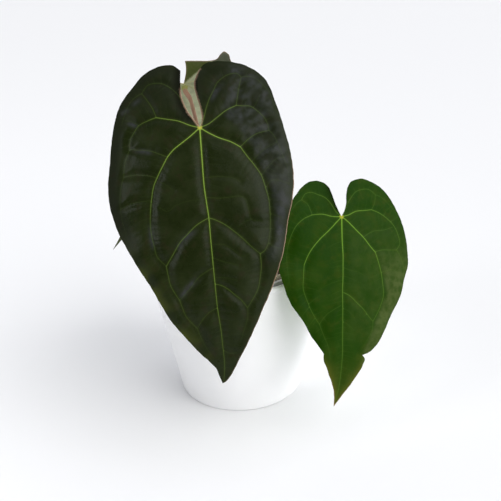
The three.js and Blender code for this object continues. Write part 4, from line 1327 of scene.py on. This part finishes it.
# Its painted sheen is pale yellow green and its painted shade dark green.
MID_LEAF = {
    **DARK_LEAF,
    "dark": (0.0105, 0.04, 0.0005), "light": (0.0185, 0.049, 0.002), "brown": (0.024, 0.046, 0.002),
    "warm": (0.078, 0.086, 0.01), "painted_shade": (0.006, 0.012, 0.002), "painted_sheen_and_shade": (0.058, 0.085, 0.02),
    "faint_vein": (0.05, 0.1, 0.018), "vein": (0.15, 0.3, 0.025), "rung": 0.13,
    "hub": (0.38, 0.38, 0.03), "rim": (0.25, 0.14, 0.05), "rough": 0.4, "specular": 0.038,
    "under_dark": (0.12, 0.22, 0.06), "under_light": (0.18, 0.29, 0.09), "under_vein": (0.3, 0.4, 0.14),
}


def white_ceramic():
    skin = Skin("white_ceramic", Specular_IOR_Level=0.4, Coat_Weight=0.1, Coat_Roughness=0.3)
    base = skin.mix(skin.span(skin.noise(14), 0.3, 0.7), (0.92, 0.92, 0.925), (0.945, 0.945, 0.95))
    uneven = skin.span(skin.noise(60, 4), 0.3, 0.7, 0.42, 0.5)
    return skin.finished(base, skin.noise(350), 0.0002, 0.25, Roughness=uneven)


def grey_plastic():
    skin = Skin("grey_plastic", Specular_IOR_Level=0.4)
    base = skin.mix(skin.span(skin.noise(30), 0.3, 0.7), (0.62, 0.58, 0.62), (0.7, 0.66, 0.69))
    uneven = skin.span(skin.noise(120), 0.3, 0.7, 0.45, 0.6)
    return skin.finished(base, skin.noise(900, 2), 0.0001, 0.3, Roughness=uneven)


def bark():
    skin = Skin("bark", Roughness=0.9, Specular_IOR_Level=0.2)
    base = skin.mix(skin.attribute("tone"), (0.055, 0.037, 0.024), (0.22, 0.16, 0.11))
    fibre = skin.noise(260, 5, (1, 1, 3))
    base = skin.mix(skin.span(fibre, 0.45, 0.7), base, (0.33, 0.26, 0.19))
    base = skin.mix(skin.span(fibre, 0.45, 0.25), base, (0.016, 0.011, 0.008))
    return skin.finished(base, fibre, 0.0012, 0.8)


def pumice():
    skin = Skin("pumice", Roughness=0.92, Specular_IOR_Level=0.2)
    base = skin.mix(skin.attribute("tone"), (0.38, 0.31, 0.25), (0.68, 0.58, 0.48))
    place = skin.node("TexCoord", {}, "Object")
    pits = skin.node("TexVoronoi", {"Vector": place, "Scale": 900}, "Distance")
    hollow = skin.span(pits, 0.1, 0.5)
    # Painted shade: the pits are darker, half way to brown.
    base = skin.mix(hollow, skin.mix(0.5, base, (0.12, 0.09, 0.07)), base)
    return skin.finished(base, hollow, 0.0006, 0.8)


def soil():
    skin = Skin("soil", Roughness=0.95, Specular_IOR_Level=0.15)
    crumb = skin.noise(420, 5)
    base = skin.mix(skin.span(crumb, 0.4, 0.65), (0.014, 0.009, 0.006), (0.08, 0.048, 0.03))
    return skin.finished(base, crumb, 0.002, 1.0)


def stalk_skin(name, low, high, knee, knee_from=KNEE_SHARE - 0.03, knee_to=KNEE_FULL_SHARE):
    """Stalk skin that changes from the sheath to the knee, with fine streaks."""
    skin = Skin(name, Roughness=0.42, IOR=1.45, Specular_IOR_Level=0.4)
    along = skin.attribute("along")
    base = skin.mix(skin.span(along, 0.05, 0.6), low, high)
    base = skin.mix(skin.span(along, knee_from, knee_to), base, knee)
    streak = skin.noise(220, 4, (3, 3, 0.5))
    streaked = skin.mix(0.5, base, (0.3, 0.26, 0.12))
    base = skin.mix(skin.times(skin.span(streak, 0.4, 0.7), 0.5), base, streaked)
    return skin.finished(base, streak, 0.0003, 0.5)


def stem_bark():
    skin = Skin("stem_skin", Roughness=0.6, Specular_IOR_Level=0.3)
    ring = skin.noise(90, 5, (0.4, 0.4, 4))
    base = skin.mix(skin.span(ring, 0.4, 0.65), (0.07, 0.085, 0.03), (0.14, 0.12, 0.06))
    base = skin.mix(skin.span(skin.noise(300, 4), 0.55, 0.75), base, (0.09, 0.05, 0.025))
    return skin.finished(base, ring, 0.0008, 0.7)


def root_skin():
    skin = Skin("root_skin", Roughness=0.75, Specular_IOR_Level=0.25)
    base = skin.mix(skin.span(skin.attribute("along"), 0.5, 0.95), (0.2, 0.17, 0.1), (0.3, 0.36, 0.14))
    return skin.finished(base, skin.noise(600), 0.0004, 0.6)


# Studio


def add_camera():
    """The photograph's own view, as a camera that looks down, turned a little and rolled."""
    pitch, yaw, roll = (math.radians(angle) for angle in (CAMERA_PITCH, CAMERA_YAW, CAMERA_ROLL))
    forward = Vector((math.sin(yaw) * math.cos(pitch), math.cos(yaw) * math.cos(pitch), -math.sin(pitch)))
    right = forward.cross(Vector((0, 0, 1))).normalized()
    down = forward.cross(right)
    rolled_right = math.cos(roll) * right + math.sin(roll) * down
    rolled_down = -math.sin(roll) * right + math.cos(roll) * down
    turn = Matrix((rolled_right, -rolled_down, -forward)).transposed().to_4x4()
    data = bpy.data.cameras.new("camera")
    data.sensor_width = SENSOR
    data.lens = FOCAL_PIXELS / FRAME_PIXELS * SENSOR
    data.clip_start = 0.05
    camera = bpy.data.objects.new("camera", data)
    camera.matrix_world = Matrix.Translation(Vector(CAMERA_PLACE) * METRES) @ turn
    bpy.context.scene.collection.objects.link(camera)
    bpy.context.scene.camera = camera


def add_light(name, kind, power, tint, place, way):
    """A light that shines one way. Its size is set by the caller."""
    data = bpy.data.lights.new(name, kind)
    data.energy = power
    data.color = tint
    light = bpy.data.objects.new(name, data)
    turn = way.to_track_quat("-Z", "Y").to_matrix().to_4x4()
    light.matrix_world = Matrix.Translation(place) @ turn
    bpy.context.scene.collection.objects.link(light)
    return data


def add_panel(name, place, size, power):
    data = add_light(name, "AREA", power, COOL_LIGHT, place, Vector(LIGHT_AIM) - Vector(place))
    data.shape = "RECTANGLE"
    data.size, data.size_y = size


def add_world():
    """Bright surroundings, with a darker part on the camera's side."""
    world = bpy.data.worlds.new("studio")
    world.use_nodes = True
    nodes = Nodes(world.node_tree)
    back = nodes.tree.nodes["Background"]
    way = nodes.node("TexCoord", {}, "Generated")
    near = nodes.node("VectorMath", {0: way, 1: DARK_SIDE}, "Value", operation="DOT_PRODUCT")
    right = nodes.node("VectorMath", {0: way, 1: (1, 0, 0)}, "Value", operation="DOT_PRODUCT")
    shade = nodes.span(near, 0.35, 0.88, 1.0, 0.22)
    strength = nodes.times(shade, nodes.span(right, -1, 1, *WORLD_STRENGTHS))
    nodes.plug(back.inputs["Color"], WORLD_TINT)
    nodes.plug(back.inputs["Strength"], strength)
    bpy.context.scene.world = world


def add_floor():
    half = FLOOR_HALF
    corners = [(-half, -half, 0), (half, -half, 0), (half, half, 0), (-half, half, 0)]
    skin = Skin("pale_floor", Roughness=0.7, Specular_IOR_Level=0.2, Base_Color=(0.86, 0.86, 0.87))
    add_mesh("floor", [(corners, [(0, 1, 2, 3)], 0)], [skin.material], 40)


def add_studio():
    bpy.context.scene.view_settings.view_transform = "Standard"
    add_world()
    sun = add_light("sun", "SUN", SUN_POWER, WARM_LIGHT, (0, 0, 0), -Vector(SUN_FROM))
    sun.angle = math.radians(SUN_SPREAD)
    for panel in PANELS:
        add_panel(*panel)
    add_floor()


def dress(piece, node):
    """Show the piece in the node's place."""
    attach(piece, "root")
    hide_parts(node)


def add_leaves():
    green = stalk_skin("green_stalk_skin", (0.12, 0.15, 0.05), (0.15, 0.19, 0.06), (0.2, 0.2, 0.05))
    pink = stalk_skin(
        "pink_stalk_skin", (0.24, 0.15, 0.08), (0.44, 0.24, 0.17), (0.36, 0.36, 0.1), 0.965, 0.985
    )
    dark_top = leaf_top("dark_leaf", DARK_LEAF)
    dark_under = leaf_under("dark_leaf_back", DARK_LEAF)
    skins = {
        "blade_front": (dark_top, dark_under),
        "blade_left": (dark_top, dark_under),
        "blade_back": (dark_top, leaf_under("young_leaf_back", BACK_LEAF)),
        "blade_right": (leaf_top("mid_leaf", MID_LEAF), leaf_under("mid_leaf_back", MID_LEAF)),
    }
    for seed, (node, blade) in enumerate(BLADES.items()):
        dress(add_blade(node, blade, 11 + 10 * seed, skins[node]), node)
        stalk = node.replace("blade", "petiole")
        skin, slot = (pink, "pink_stalk") if node == "blade_back" else (green, "green_stalk")
        dress(add_stalk(stalk, blade, skin, seed), stalk)


def main():
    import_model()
    add_camera()
    add_leaves()
    bud_skin = stalk_skin("bud_skin", (0.14, 0.14, 0.05), (0.26, 0.14, 0.07), (0.2, 0.1, 0.05))
    dress(add_stem([stem_bark(), bud_skin, root_skin()]), "stem")
    dress(add_cover_pot(white_ceramic()), "cover_pot")
    dress(add_nursery_pot(grey_plastic()), "nursery_pot")
    for piece in add_mix({"soil": soil(), "bark": bark(), "pumice": pumice()}):
        dress(piece, "potting_mix")
    add_studio()
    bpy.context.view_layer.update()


main()
